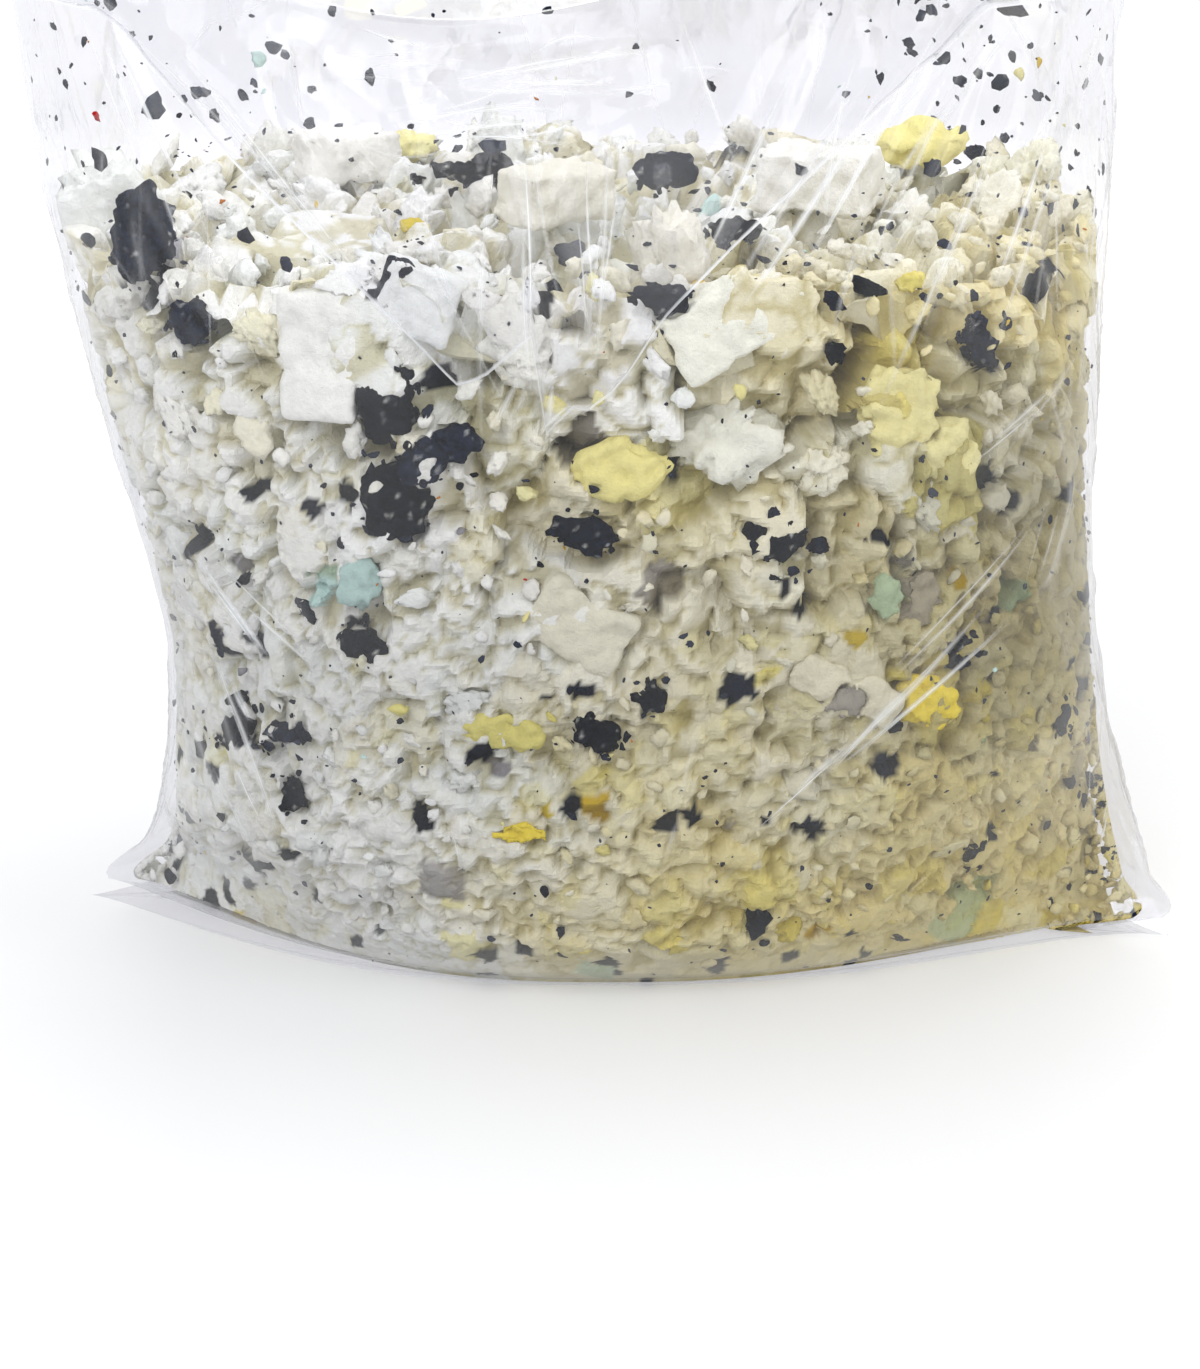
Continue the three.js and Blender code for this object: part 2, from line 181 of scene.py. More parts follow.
# Creases in the film as (across, up) to (across, up), width and height, in millimetres, on the front
FRONT_CREASES = [
    ((-179, 203), (-148, 165), 7, 4.0), ((-170, 155), (-157, 131), 6, 3.0),
    ((155, 186), (88, 112), 7, 3.0), ((205, 292), (152, 257), 6, 3.0), ((206, 240), (189, 186), 6, 3.0),
    ((25, 322), (92, 457), 8, 4.0), ((42, 318), (121, 433), 9, 4.5), ((66, 322), (144, 449), 8, 4.0),
    ((100, 322), (164, 449), 9, 4.0), ((126, 284), (181, 433), 8, 4.0), ((159, 301), (197, 409), 8, 4.0),
    ((-222, 457), (-165, 347), 8, 4.0), ((-217, 445), (-186, 372), 7, 3.5),
    ((232, 49), (239, 74), 7, 2.5), ((-183, 186), (-142, 74), 6, 2.5), ((-188, 131), (-151, 64), 6, 2.5),
    ((-176, 204), (-117, 158), 6, 2.5), ((-81, 425), (32, 419), 8, 3.5), ((-69, 415), (24, 433), 7, 3.0),
    ((-36, 410), (-32, 292), 6, 2.5), ((-14, 400), (-6, 296), 6, 2.5), ((2, 396), (-10, 300), 6, 2.0),
    ((-190, 441), (-66, 300), 5, 2.0), ((60, 362), (160, 447), 5, 2.0),
    ((77, 105), (200, 222), 5, 1.5), ((95, 118), (190, 190), 5, 1.5), ((110, 150), (205, 240), 5, 1.5),
    ((-44, 272), (-31, 302), 4, 1.5), ((-30, 271), (-10, 291), 4, 1.5), ((-24, 273), (-22, 300), 4, 1.5),
    ((60, 95), (120, 150), 5, 1.5), ((-180, 206), (-146, 163), 6, 2.5), ((-178, 200), (-150, 168), 6, 2.0),
]
SLACK_WRINKLES = 120
LOW_WRINKLES = 150
EAR_WRINKLES = 26
EAR_SHARE = 0.28

# Painted highlight lines along creases: how many on each face above and below the heap's level, and their
# sizes
STREAK_COUNTS = {"front": (22, 9), "back": (18, 9), "left": (7, 4), "right": (7, 4)}
STREAK_STEPS = 14
STREAK_STAND = 0.35 * MM
FAN_LINES = 2
MOUTH_STREAKS = 22
VIEW_OF_FACE = {
    "front": ((1, 0), (0, 1)),
    "back": ((1, 0), (0, -1)),
    "left": ((0, 1), (1, 0)),
    "right": ((0, 1), (-1, 0)),
}

# Crumbs that cling to the film and lie on the foam
CRUMB_TONES = [(0.15, 0.17, 0.22), (0.19, 0.21, 0.27), (0.13, 0.14, 0.18)]
BRIGHT_TONES = [
    (0.83, 0.70, 0.20), (0.90, 0.86, 0.60), (0.75, 0.45, 0.15),
    (0.70, 0.15, 0.16), (0.76, 0.87, 0.84),
]
CRUMBS_ON_FOAM = 1500
CRUMBS_ABOVE = 260
CRUMB_CLUSTERS = (-0.78, -2.4, 0.8, 2.3)
CRUMB_SHARES = (0.36, 0.22, 0.21, 0.21)
CRUMB_FORMS = 16
FINE_CRUMB = 3.2 * MM
CRUMB_INSET = 1.6 * MM
CRUMB_TOP = 455 * MM

# Surfaces: tints, gloss and haze
FILM_TINT = (0.92, 0.918, 0.938, 1)
FILM_SHADOW_TINT = (0.975, 0.975, 0.98, 1)
FILM_GLOW = (0.92, 0.93, 0.96, 1)
# The film's milky white, also painted along its creases and hem as a painted highlight
FILM_MILK_AND_HIGHLIGHT = (0.95, 0.96, 0.98, 1)
# Painted highlight: the white of the lines along the creases
HIGHLIGHT_WHITE = (0.97, 0.98, 1.0, 1)
FILM_IOR = 1.32
SHINE_LIMIT = 0.20
EDGE_HAZE = (0.004, 0.42)
CLOUD_HAZE = (0.0, 0.05)
RIPPLE_SCALE = 60.0
RIPPLE_DEPTH = 1.0 * MM
UPRIGHT_STRETCH = (1.0, 1.0, 0.35)
WHITE = (1, 1, 1, 1)
MOTTLE_SIZE = 2.4

# Stage: the floor, its glow from near to far, and the lamps as place, size, power and colour
FLOOR_SIZE = 4
FLOOR_COLOUR = (0.62, 0.62, 0.63, 1)
GLOW_DISTANCES = (0.5, 2.7)
FLOOR_GLOWS = (0.27, 0.64)
LAMP_AIM = (0, 0, 0.22)
LAMPS = {
    "key_softbox": ((-0.8, -1.7, 1.8), (1.2, 1.4), 24.5, (0.97, 0.985, 1.0)),
    "side_softbox": ((1.7, -0.9, 1.0), (0.8, 1.3), 9.5, (1.0, 0.985, 0.95)),
    "top_softbox": ((0.1, 0.4, 2.1), (1.3, 0.9), 11, (1.0, 1.0, 1.0)),
    "back_softbox": ((0.2, 1.9, 1.0), (1.4, 0.8), 14, (1.0, 1.0, 1.0)),
}
WORLD_COLOUR = (0.97, 0.985, 1.0, 1)
WORLD_LIGHT = 0.72


def linear(colour):
    """Display values as linear ones."""
    c = np.asarray(colour, float)
    return np.where(c <= 0.04045, c / 12.92, ((c + 0.055) / 1.055) ** 2.4)


def smooth(value, low, high):
    """A soft step from 0 at low to 1 at high."""
    t = np.clip((np.asarray(value, float) - low) / (high - low), 0, 1)
    return t * t * (3 - 2 * t)


# Materials

class Graph:
    """A node tree, built by adding nodes and wiring them together."""

    def __init__(self, tree):
        tree.nodes.clear()
        self.nodes, self.links = tree.nodes, tree.links

    def add(self, kind, operation=None, **values):
        node = self.nodes.new("ShaderNode" + kind)
        if operation:
            node.operation = operation
        for name, value in values.items():
            node.inputs[name.replace("_", " ")].default_value = value
        return node

    def attribute(self, name):
        node = self.add("Attribute")
        node.attribute_name = name
        return node

    def wire(self, *wires):
        """Each wire is a node, its output, the next node and that node's input."""
        for source, output, target, socket in wires:
            self.links.new(source.outputs[output], target.inputs[socket])

    def seen_directly(self):
        """A node whose value is 1 for rays from the camera, also by way of gloss and clear surfaces."""
        path = self.add("LightPath")
        first, second = self.add("Math", "MAXIMUM"), self.add("Math", "MAXIMUM")
        self.wire(
            (path, "Is Camera Ray", first, 0),
            (path, "Is Glossy Ray", first, 1),
            (first, "Value", second, 0),
            (path, "Is Transmission Ray", second, 1),
        )
        return second


def new_material(name):
    material = bpy.data.materials.new(name)
    material.use_nodes = True
    return material, Graph(material.node_tree)


def foam_material(name, cell_size, pit_depth, darkest, lightest):
    """Open-cell foam: the shred's own tint, mottled darker and lighter, with torn cells in its face; on the
    dark foam the strong lighter mottling is partly random tone and partly a painted sheen.
    """
    material, graph = new_material(name)
    output = graph.add("OutputMaterial")
    shader = graph.add("BsdfPrincipled", Roughness=1.0, Specular_IOR_Level=0.0)
    place = graph.add("TexCoord")
    tint = graph.attribute("Tint")
    mottle = graph.add("TexNoise", Scale=1 / (MOTTLE_SIZE * cell_size), Detail=2.0, Roughness=0.6)
    tone = graph.add("MapRange", From_Min=0.3, From_Max=0.7, To_Min=darkest, To_Max=lightest)
    blend = graph.add("Mix")
    blend.data_type = "RGBA"
    blend.blend_type = "MULTIPLY"
    blend.inputs["Factor"].default_value = 1.0
    cells = graph.add("TexNoise", Scale=1 / cell_size, Detail=2.0, Roughness=0.75)
    pits = graph.add("Bump", Strength=0.9, Distance=pit_depth)
    graph.wire(
        (place, "Object", mottle, "Vector"),
        (place, "Object", cells, "Vector"),
        (mottle, "Fac", tone, "Value"),
        (tint, "Color", blend, "A"),
        (tone, "Result", blend, "B"),
        (blend, "Result", shader, "Base Color"),
        (cells, "Fac", pits, "Height"),
        (pits, "Normal", shader, "Normal"),
        (shader, "BSDF", output, "Surface"),
    )
    return material


def film_material():
    """Clear polyethylene: see-through and glossy, milky where it is seen edge on, at its lower corners and
    at the front's tip, and painted white along its creases and hem as painted highlights.
    """
    material, graph = new_material("clear_film")
    output = graph.add("OutputMaterial")
    clear = graph.add("BsdfTransparent", Color=FILM_TINT)
    passing = graph.add("BsdfTransparent", Color=FILM_SHADOW_TINT)
    glow_through = graph.add("BsdfTranslucent", Color=FILM_GLOW)
    # The milky closure, which also paints the highlights along creases and hem
    milky_and_highlight_face = graph.add("BsdfDiffuse", Color=FILM_MILK_AND_HIGHLIGHT)
    milk_and_highlight = graph.add("MixShader", Fac=0.5)
    gloss = graph.add("BsdfGlossy", Color=WHITE, Roughness=0.08)
    place = graph.add("TexCoord")
    stretch = graph.add("Mapping", Scale=UPRIGHT_STRETCH)
    ripple = graph.add("TexNoise", Scale=RIPPLE_SCALE, Detail=3.0, Roughness=0.55, Distortion=0.6)
    ripple_bump = graph.add("Bump", Strength=0.3, Distance=RIPPLE_DEPTH)
    edge = graph.add("LayerWeight", Blend=0.22)
    haze = graph.add("MapRange", From_Min=0.0, From_Max=1.0, To_Min=EDGE_HAZE[0], To_Max=EDGE_HAZE[1])
    patchy = graph.add("TexNoise", Scale=11.0, Detail=2.0)
    cloud = graph.add("MapRange", From_Min=0.42, From_Max=0.75, To_Min=CLOUD_HAZE[0], To_Max=CLOUD_HAZE[1])
    cloudy = graph.add("Math", "ADD")
    milky_and_highlight_marks = graph.attribute("MilkAndHighlight")
    haze_and_highlight = graph.add("Math", "MAXIMUM")
    fresnel = graph.add("Fresnel", IOR=FILM_IOR)
    shine = graph.add("Math", "MINIMUM")
    shine.inputs[1].default_value = SHINE_LIMIT
    path = graph.add("LightPath")
    lit = graph.add("Math", "MAXIMUM")
    body, whole, final = (graph.add("MixShader") for _ in range(3))
    graph.wire(
        (place, "Object", stretch, "Vector"),
        (stretch, "Vector", ripple, "Vector"),
        (ripple, "Fac", ripple_bump, "Height"),
        (ripple_bump, "Normal", gloss, "Normal"),
        (ripple_bump, "Normal", fresnel, "Normal"),
        (edge, "Facing", haze, "Value"),
        (stretch, "Vector", patchy, "Vector"),
        (patchy, "Fac", cloud, "Value"),
        (haze, "Result", cloudy, 0),
        (cloud, "Result", cloudy, 1),
        (cloudy, "Value", haze_and_highlight, 0),
        (milky_and_highlight_marks, "Fac", haze_and_highlight, 1),
        (glow_through, "BSDF", milk_and_highlight, 1),
        (milky_and_highlight_face, "BSDF", milk_and_highlight, 2),
        (haze_and_highlight, "Value", body, "Fac"),
        (clear, "BSDF", body, 1),
        (milk_and_highlight, "Shader", body, 2),
        (fresnel, "Fac", shine, 0),
        (shine, "Value", whole, "Fac"),
        (body, "Shader", whole, 1),
        (gloss, "BSDF", whole, 2),
        (path, "Is Shadow Ray", lit, 0),
        (path, "Is Diffuse Ray", lit, 1),
        (lit, "Value", final, "Fac"),
        (whole, "Shader", final, 1),
        (passing, "BSDF", final, 2),
        (final, "Shader", output, "Surface"),
    )
    return material


def crease_highlight_material():
    """Painted highlight: a white line along a sharp crease in the film, fading to clear at its edges and
    ends.
    """
    material, graph = new_material("film_crease_highlight")
    output = graph.add("OutputMaterial")
    clear = graph.add("BsdfTransparent", Color=WHITE)
    glow_through = graph.add("BsdfTranslucent", Color=FILM_GLOW)
    # Painted highlight: a diffuse white that stands in for the gloss along the crease
    face = graph.add("BsdfDiffuse", Color=HIGHLIGHT_WHITE)
    milk_and_highlight = graph.add("MixShader", Fac=0.6)
    milky_and_highlight_marks = graph.attribute("MilkAndHighlight")
    body = graph.add("MixShader")
    graph.wire(
        (glow_through, "BSDF", milk_and_highlight, 1),
        (face, "BSDF", milk_and_highlight, 2),
        (milky_and_highlight_marks, "Fac", body, "Fac"),
        (clear, "BSDF", body, 1),
        (milk_and_highlight, "Shader", body, 2),
        (body, "Shader", output, "Surface"),
    )
    return material


def floor_material():
    """A pale matt floor that reads as white to the camera and keeps the object's shadow."""
    material, graph = new_material("studio_floor")
    output = graph.add("OutputMaterial")
    matt = graph.add("BsdfDiffuse", Color=FLOOR_COLOUR)
    glow = graph.add("Emission", Color=WHITE)
    share = graph.add("Math", "MULTIPLY")
    place = graph.add("TexCoord")
    away = graph.add("VectorMath", "LENGTH")
    near, far = GLOW_DISTANCES
    fade = graph.add("MapRange", From_Min=near, From_Max=far, To_Min=FLOOR_GLOWS[0], To_Max=FLOOR_GLOWS[1])
    both = graph.add("AddShader")
    graph.wire(
        (place, "Object", away, 0),
        (away, "Value", fade, "Value"),
        (graph.seen_directly(), "Value", share, 0),
        (fade, "Result", share, 1),
        (share, "Value", glow, "Strength"),
        (matt, "BSDF", both, 0),
        (glow, "Emission", both, 1),
        (both, "Shader", output, "Surface"),
    )
    return material


# Meshes

def mesh_object(name, points, faces, material, tints=None, smooth_faces=True):
    mesh = bpy.data.meshes.new(name)
    mesh.from_pydata(np.asarray(points).tolist(), [], [tuple(map(int, face)) for face in faces])
    mesh.materials.append(material)
    mesh.polygons.foreach_set("use_smooth", [smooth_faces] * len(mesh.polygons))
    if tints is not None:
        add_tints(mesh, tints)
    mesh.update()
    piece = bpy.data.objects.new(name, mesh)
    bpy.context.scene.collection.objects.link(piece)
    return piece


def add_tints(mesh, tints):
    layer = mesh.attributes.new("Tint", "FLOAT_COLOR", "POINT")
    values = np.ones((len(mesh.vertices), 4), np.float32)
    values[:, :3] = linear(tints)
    layer.data.foreach_set("color", values.ravel())


def node_mesh(name):
    """A CAD node's corners and triangles."""
    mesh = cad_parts[name].data
    mesh.calc_loop_triangles()
    points = np.array([v.co[:] for v in mesh.vertices])
    triangles = np.array([t.vertices[:] for t in mesh.loop_triangles])
    return points, triangles


def remeshed(source, voxel, smooth_passes=0):
    """A fine mesh of a source mesh, with its corners and their normals."""
    rough = bpy.data.objects.new("rough", source)
    bpy.context.scene.collection.objects.link(rough)
    remesh = rough.modifiers.new("fine", "REMESH")
    remesh.mode = "VOXEL"
    remesh.voxel_size = voxel
    if smooth_passes:
        rounding = rough.modifiers.new("rounded", "SMOOTH")
        rounding.factor = 0.5
        rounding.iterations = smooth_passes
    bpy.context.view_layer.update()
    fine = bpy.data.meshes.new_from_object(rough.evaluated_get(bpy.context.evaluated_depsgraph_get()))
    bpy.data.objects.remove(rough)
    points = np.array([v.co[:] for v in fine.vertices])
    normals = np.array([v.normal[:] for v in fine.vertices])
    return fine, points, normals


def ball(level):
    """Directions and triangles of an icosphere."""
    work = bmesh.new()
    bmesh.ops.create_icosphere(work, subdivisions=level, radius=1.0)
    work.verts.ensure_lookup_table()
    points = np.array([v.co[:] for v in work.verts])
    faces = np.array([[v.index for v in f.verts] for f in work.faces])
    work.free()
    return points / np.linalg.norm(points, axis=1)[:, None], faces


def field(points, scale, seed):
    """Smooth noise from -1 to 1 at each point."""
    shift = Vector((seed * 7.31, seed * 3.17, seed * 5.77))
    return np.array([noise.noise(Vector(p) * scale + shift) for p in points])


def torn_form(directions, rng, seed):
    """A scrap torn from a block: a soft-edged many-sided lump with ragged hollows."""
    count = rng.integers(8, 14)
    planes = rng.normal(size=(count, 3))
    planes /= np.linalg.norm(planes, axis=1)[:, None]
    reach = rng.uniform(0.55, 1.0, count)
    push = np.maximum(directions @ planes.T, 0) / reach
    radius = 1 / np.maximum((push ** 12).sum(1) ** (1 / 12), 0.7)
    ragged = 0.30 * field(directions, 1.7, seed) + 0.34 * field(directions, 3.6, seed + 0.5)
    fine = 0.22 * field(directions, 7.5, seed + 0.9) + 0.12 * field(directions, 15.0, seed + 0.2)
    form = directions * (radius * np.maximum(1 + ragged + fine, 0.25))[:, None]
    stretch = np.array((1.0, rng.uniform(0.6, 0.95), rng.uniform(0.4, 0.7)))
    form *= stretch
    return form / np.ptp(form, axis=0).max()


def turned(rng):
    """A random rotation matrix."""
    q = rng.normal(size=4)
    w, x, y, z = q / np.linalg.norm(q)
    return np.array((
        (1 - 2 * (y * y + z * z), 2 * (x * y - z * w), 2 * (x * z + y * w)),
        (2 * (x * y + z * w), 1 - 2 * (x * x + z * z), 2 * (y * z - x * w)),
        (2 * (x * z - y * w), 2 * (y * z + x * w), 1 - 2 * (x * x + y * y)),
    ))


# Packed foam: the heap's own faces, broken into torn chunks at two sizes


def scatter_on(points, triangles, count, rng):
    """Random places on a mesh, with the face normals there."""
    a, b, c = (points[triangles[:, i]] for i in range(3))
    cross = np.cross(b - a, c - a)
    area = np.linalg.norm(cross, axis=1)
    chosen = rng.choice(len(triangles), count, p=area / area.sum())
    u = np.sqrt(rng.random(count))[:, None]
    v = rng.random(count)[:, None]
    spots = (1 - u) * a[chosen] + u * (1 - v) * b[chosen] + u * v * c[chosen]
    return spots, (cross / np.maximum(area, 1e-12)[:, None])[chosen]


def spread_out(spots, sizes, spacing):
    """The spots kept, largest first, so that no two are closer than spacing times their mean size."""
    kept = []
    held = np.zeros((len(spots), 3))
    held_sizes = np.zeros(len(spots))
    count = 0
    for i in np.argsort(-sizes):
        distance = np.linalg.norm(held[:count] - spots[i], axis=1)
        if (distance < spacing * (held_sizes[:count] + sizes[i]) / 2).any():
            continue
        held[count], held_sizes[count] = spots[i], sizes[i]
        count += 1
        kept.append(i)
    return np.array(kept)


def warmth_and_shade(spots):
    """How yellow the foam's tone is, from 0 to 1: more to the right and low down, less on top; partly the
    foam's real yellowing and partly painted shade, as it also darkens the foam through SHADE_TINT.
    """
    x, level = spots[:, 0], spots[:, 2]
    patches = field(spots, 15, 2.2)
    low = (0.3 - level) * smooth(x, -0.12, 0.02)
    top = 7.0 * np.maximum(level - 0.32, 0)
    return np.clip(0.06 + 3.0 * x + 2.2 * low + 0.5 * patches - top, 0, 1)


def painted_level_shade(levels):
    """Painted shade: the foam is painted darker low down, darkest about halfway up, and lightest on top."""
    return np.interp(levels, LEVELS, LEVEL_SHADES)


def tints_for(spots, dark_share, rng):
    """A kind and a tint for the foam at each spot, with painted shade: darker by level, in the right flank
    and where the tone is yellower.
    """
    warm_and_shade = warmth_and_shade(spots)
    yellow_patch = smooth(field(spots, 17, 5.5), 0.05, 0.45)
    # Painted shade: the right flank, halfway up, is painted darker by RIGHT_SHADE
    shaded_flank = smooth(spots[:, 0], *FLANK_EDGE) * np.interp(spots[:, 2], FLANK_LEVELS, (0, 1, 1, 0))
    shade = painted_level_shade(spots[:, 2]) * (1 - RIGHT_SHADE * shaded_flank)
    kinds, tints = [], np.zeros((len(spots), 3))
    for i in range(len(spots)):
        yellow = (0.02 + 0.5 * warm_and_shade[i]) * yellow_patch[i] + 0.05 * warm_and_shade[i]
        white, cream = 0.80 - 0.48 * warm_and_shade[i], 0.08 + 0.30 * warm_and_shade[i]
        shares = np.array((white, cream, yellow, 0.05 * yellow, dark_share, MINT_SHARE, GREY_SHARE))
        kind = KINDS[rng.choice(len(KINDS), p=shares / shares.sum())]
        tones = PALETTE[kind]
        tint = np.array(tones[rng.integers(len(tones))]) * rng.uniform(0.96, 1.02)
        # Partly real yellowing and partly painted shade: the tint is yellowed and darkened by SHADE_TINT,
        # and darkened by level and in the right flank
        if kind != "charcoal":
            tint = tint * (1 - warm_and_shade[i] + warm_and_shade[i] * SHADE_TINT) * shade[i]
        kinds.append(kind)
        tints[i] = tint
    return kinds, tints


def packed_surface():
    """The heap's outside, its pockets filled, as a fine mesh: points, four-sided faces, outward normals."""
    corners, triangles = node_mesh(FILL_NODE)
    shells, faces, base = [corners], [triangles], len(corners)
    for name in shred_nodes:
        corners, triangles = node_mesh(name)
        if corners[:, 2].mean() > HEAP_LEVEL:
            continue
        centre = corners.mean(axis=0)
        shells.append(centre + (corners - centre) * POCKET_FILL)
        faces.append(triangles + base)
        base += len(corners)
    source = bpy.data.meshes.new("packed_source")
    source.from_pydata(np.vstack(shells).tolist(), [], np.vstack(faces).tolist())
    fine, points, normals = remeshed(source, PACKED_VOXEL)
    return points, np.array([face.vertices[:] for face in fine.polygons]), normals


def evened(values, faces, times):
    """Values at the corners of four-sided faces, each drawn halfway to the mean of its neighbours'."""
    start = faces.ravel()
    end = np.roll(faces, -1, axis=1).ravel()
    neighbours = np.bincount(start, minlength=len(values))[:, None]
    for _ in range(times):
        sums = [np.bincount(start, weights=values[end, axis], minlength=len(values)) for axis in range(3)]
        values = (values + np.stack(sums, axis=1) / neighbours) / 2
    return values


def chunk_sites(points, triangles, sizes_by_level, candidates, rng):
    """The middles of the chunks on a mesh, and their sizes."""
    spots, _ = scatter_on(points, triangles, candidates, rng)
    sizes = np.interp(spots[:, 2], LEVELS, sizes_by_level) * np.exp(rng.normal(0, 0.28, candidates))
    kept = spread_out(spots, sizes, SITE_SPACING)
    return spots[kept], sizes[kept]


def chunk_relief(points, sites, sizes, seed, rng):
    """Which chunk each point is in, and how far its face stands back: split edges, steps and tilts."""
    tree = KDTree(len(sites))
    for i, site in enumerate(sites):
        tree.insert(site, i)
    tree.balance()
    mean = sizes.mean()
    shift = Vector((seed, 2 * seed, 3 * seed))
    warp = np.array([noise.noise_vector(Vector(p) / mean * 0.8 + shift)[:] for p in points])
    warp += 0.5 * np.array([noise.noise_vector(Vector(p) / mean * 2.1 + shift)[:] for p in points])
    places = points + warp * mean * WARP
    found = [tree.find_n(place, 4) for place in places]
    index = np.array([[hit[1] for hit in hits] for hits in found])
    scaled = np.array([[hit[2] for hit in hits] for hits in found]) / sizes[index]
    order = np.argsort(scaled, axis=1)
    index = np.take_along_axis(index, order, axis=1)
    scaled = np.take_along_axis(scaled, order, axis=1)
    cell = index[:, 0]
    size = sizes[cell]
    edge = np.clip((scaled[:, 1] - scaled[:, 0]) / SPLIT_WIDTH, 0, 1)
    step = rng.uniform(0, 1, len(sites)) ** 2
    tilt = rng.normal(0, TILT, (len(sites), 3))
    slope = (tilt[cell] * (places - sites[cell])).sum(1)
    back = size * (SPLIT_DEPTH * (1 - edge) + STEP_DEPTH * step[cell])
    return cell, back - np.clip(slope, -TILT_DEPTH * size, TILT_DEPTH * size)


def make_packed_foam(material):
    """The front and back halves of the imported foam, each displaced inward from the heap's face."""
    rng = np.random.default_rng(31)
    corners, triangles = node_mesh(FILL_NODE)
    points, faces, normals = packed_surface()
    normals = evened(normals, faces, NORMAL_PASSES)
    normals /= np.linalg.norm(normals, axis=1)[:, None]
    chunk_spots, chunks = chunk_sites(corners, triangles, CHUNK_SIZES, SITE_CANDIDATES[0], rng)
    scrap_spots, scraps = chunk_sites(corners, triangles, SCRAP_SIZES, SITE_CANDIDATES[1], rng)
    chunk, back = chunk_relief(points, chunk_spots, chunks, 3.3, rng)
    scrap, small_back = chunk_relief(points, scrap_spots, scraps, 7.7, rng)
    ragged = 0.8 * MM * field(points, 170, 1.5) + 1.1 * MM * field(points, 300, 2.5)
    low_edge = 0.12 + 0.88 * smooth(points[:, 2], 6 * MM, 40 * MM)
    at_side = 1 - 0.5 * smooth(np.abs(normals[:, 0]), 0.5, 0.9)
    loose = 0.55 + 0.45 * smooth(points[:, 2], 0.16, 0.30)
    relief = (loose * back + 1.15 * small_back) * at_side + ragged + 0.5 * MM
    foot = FOOT_SPREAD * (1 - smooth(points[:, 2], 6 * MM, 18 * MM))
    depth = np.maximum(relief * low_edge, 0.3 * MM) - foot
    moved = evened(points - normals * depth[:, None], faces, SHAPE_PASSES)
    moved = BagShape().held_in(moved, PACKED_INSET)
    _, chunk_tints = tints_for(chunk_spots, 0.0, rng)
    kinds, scrap_tints = tints_for(scrap_spots, DARK_SCRAP_SHARE, rng)
    own = np.array([kind in OWN_COLOUR_KINDS for kind in kinds])
    tints = CHUNK_BLEND * chunk_tints[chunk] + (1 - CHUNK_BLEND) * scrap_tints[scrap]
    tints[own[scrap]] = scrap_tints[scrap][own[scrap]]
    # Painted shade: the faces that stand back between the scraps are painted darker and yellower
    tints *= 1 - smooth(small_back / scraps.mean(), 0.10, 0.45)[:, None] * GAP_SHADE
    middle = points[faces].mean(axis=1)
    outside = middle[:, 2] > SOLE_CLEARANCE
    for side, chosen in (("front", middle[:, 1] < 0), ("back", middle[:, 1] >= 0)):
        kept = faces[chosen & outside]
        used, numbers = np.unique(kept, return_inverse=True)
        corners_of_faces = numbers.reshape(kept.shape)
        yield mesh_object(f"packed_foam_{side}", moved[used], corners_of_faces, material, tints[used],
                          smooth_faces=False)


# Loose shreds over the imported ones


def loose_sizes(levels, rng):
    """Mostly small shreds with some large ones, all smaller low down and larger on top."""
    large = rng.random(len(levels)) < LARGE_SHARE
    sizes = np.where(large, np.interp(levels, LEVELS, LARGE_SIZES), np.interp(levels, LEVELS, SMALL_SIZES))
    return sizes * np.exp(rng.normal(0, 0.25, len(levels)))


class Heap:
    """Gathers shreds by kind, so that each kind becomes a few joined pieces."""

    def __init__(self, rng):
        self.rng = rng
        self.shape = BagShape()
        self.parts = {}
        self.forms = {}
        for level in (2, 3, 4):
            directions, faces = ball(level)
            forms = [torn_form(directions, rng, seed + 0.1 * level) for seed in range(FORMS_PER_LEVEL)]
            self.forms[level] = (forms, faces)

    def add(self, kind, tint, spot, normal, size, sink, press):
        level = 4 if size > FINE_FROM else 3 if size > MEDIUM_FROM else 2
        forms, faces = self.forms[level]
        form = forms[self.rng.integers(len(forms))]
        points = form @ turned(self.rng).T * size
        points += spot - normal * size * sink
        proud = (points - spot) @ normal
        flat = np.where(proud > 0, proud * press, proud)
        points += (flat - proud)[:, None] * normal
        points = self.shape.held_in(points, LOOSE_INSET)
        self.parts.setdefault(kind, []).append((points, faces, np.tile(tint, (len(points), 1))))

    def pieces(self, own_materials, common_material, limit):
        for kind, parts in self.parts.items():
            material = own_materials.get(kind, common_material)
            batch, total, number = [], 0, 1
            for part in parts + [None]:
                if part is None or total + len(part[1]) > limit:
                    yield joined(f"small_shreds_{kind}_{number}", batch, material), kind
                    batch, total, number = [], 0, number + 1
                if part is not None:
                    batch.append(part)
                    total += len(part[1])


def joined(name, parts, material):
    """One mesh made of many shreds."""
    points, faces, tints, base = [], [], [], 0
    for part_points, part_faces, part_tints in parts:
        points.append(part_points)
        faces.append(part_faces + base)
        tints.append(part_tints)
        base += len(part_points)
    return mesh_object(name, np.vstack(points), np.vstack(faces), material, np.vstack(tints))


def pocket_test():
    """A test of whether a spot lies in or near the pocket of a larger shred."""
    trees = []
    for name in shred_nodes:
        corners, faces = node_mesh(name)
        tree = BVHTree.FromPolygons(corners.tolist(), faces.tolist())
        trees.append((corners.min(0), corners.max(0), tree))

    def in_pocket(spot, margin):
        for low, high, tree in trees:
            if (spot < low - margin).any() or (spot > high + margin).any():
                continue
            if tree.find_nearest(Vector(spot), margin)[0] is not None:
                return True
        return False

    return in_pocket


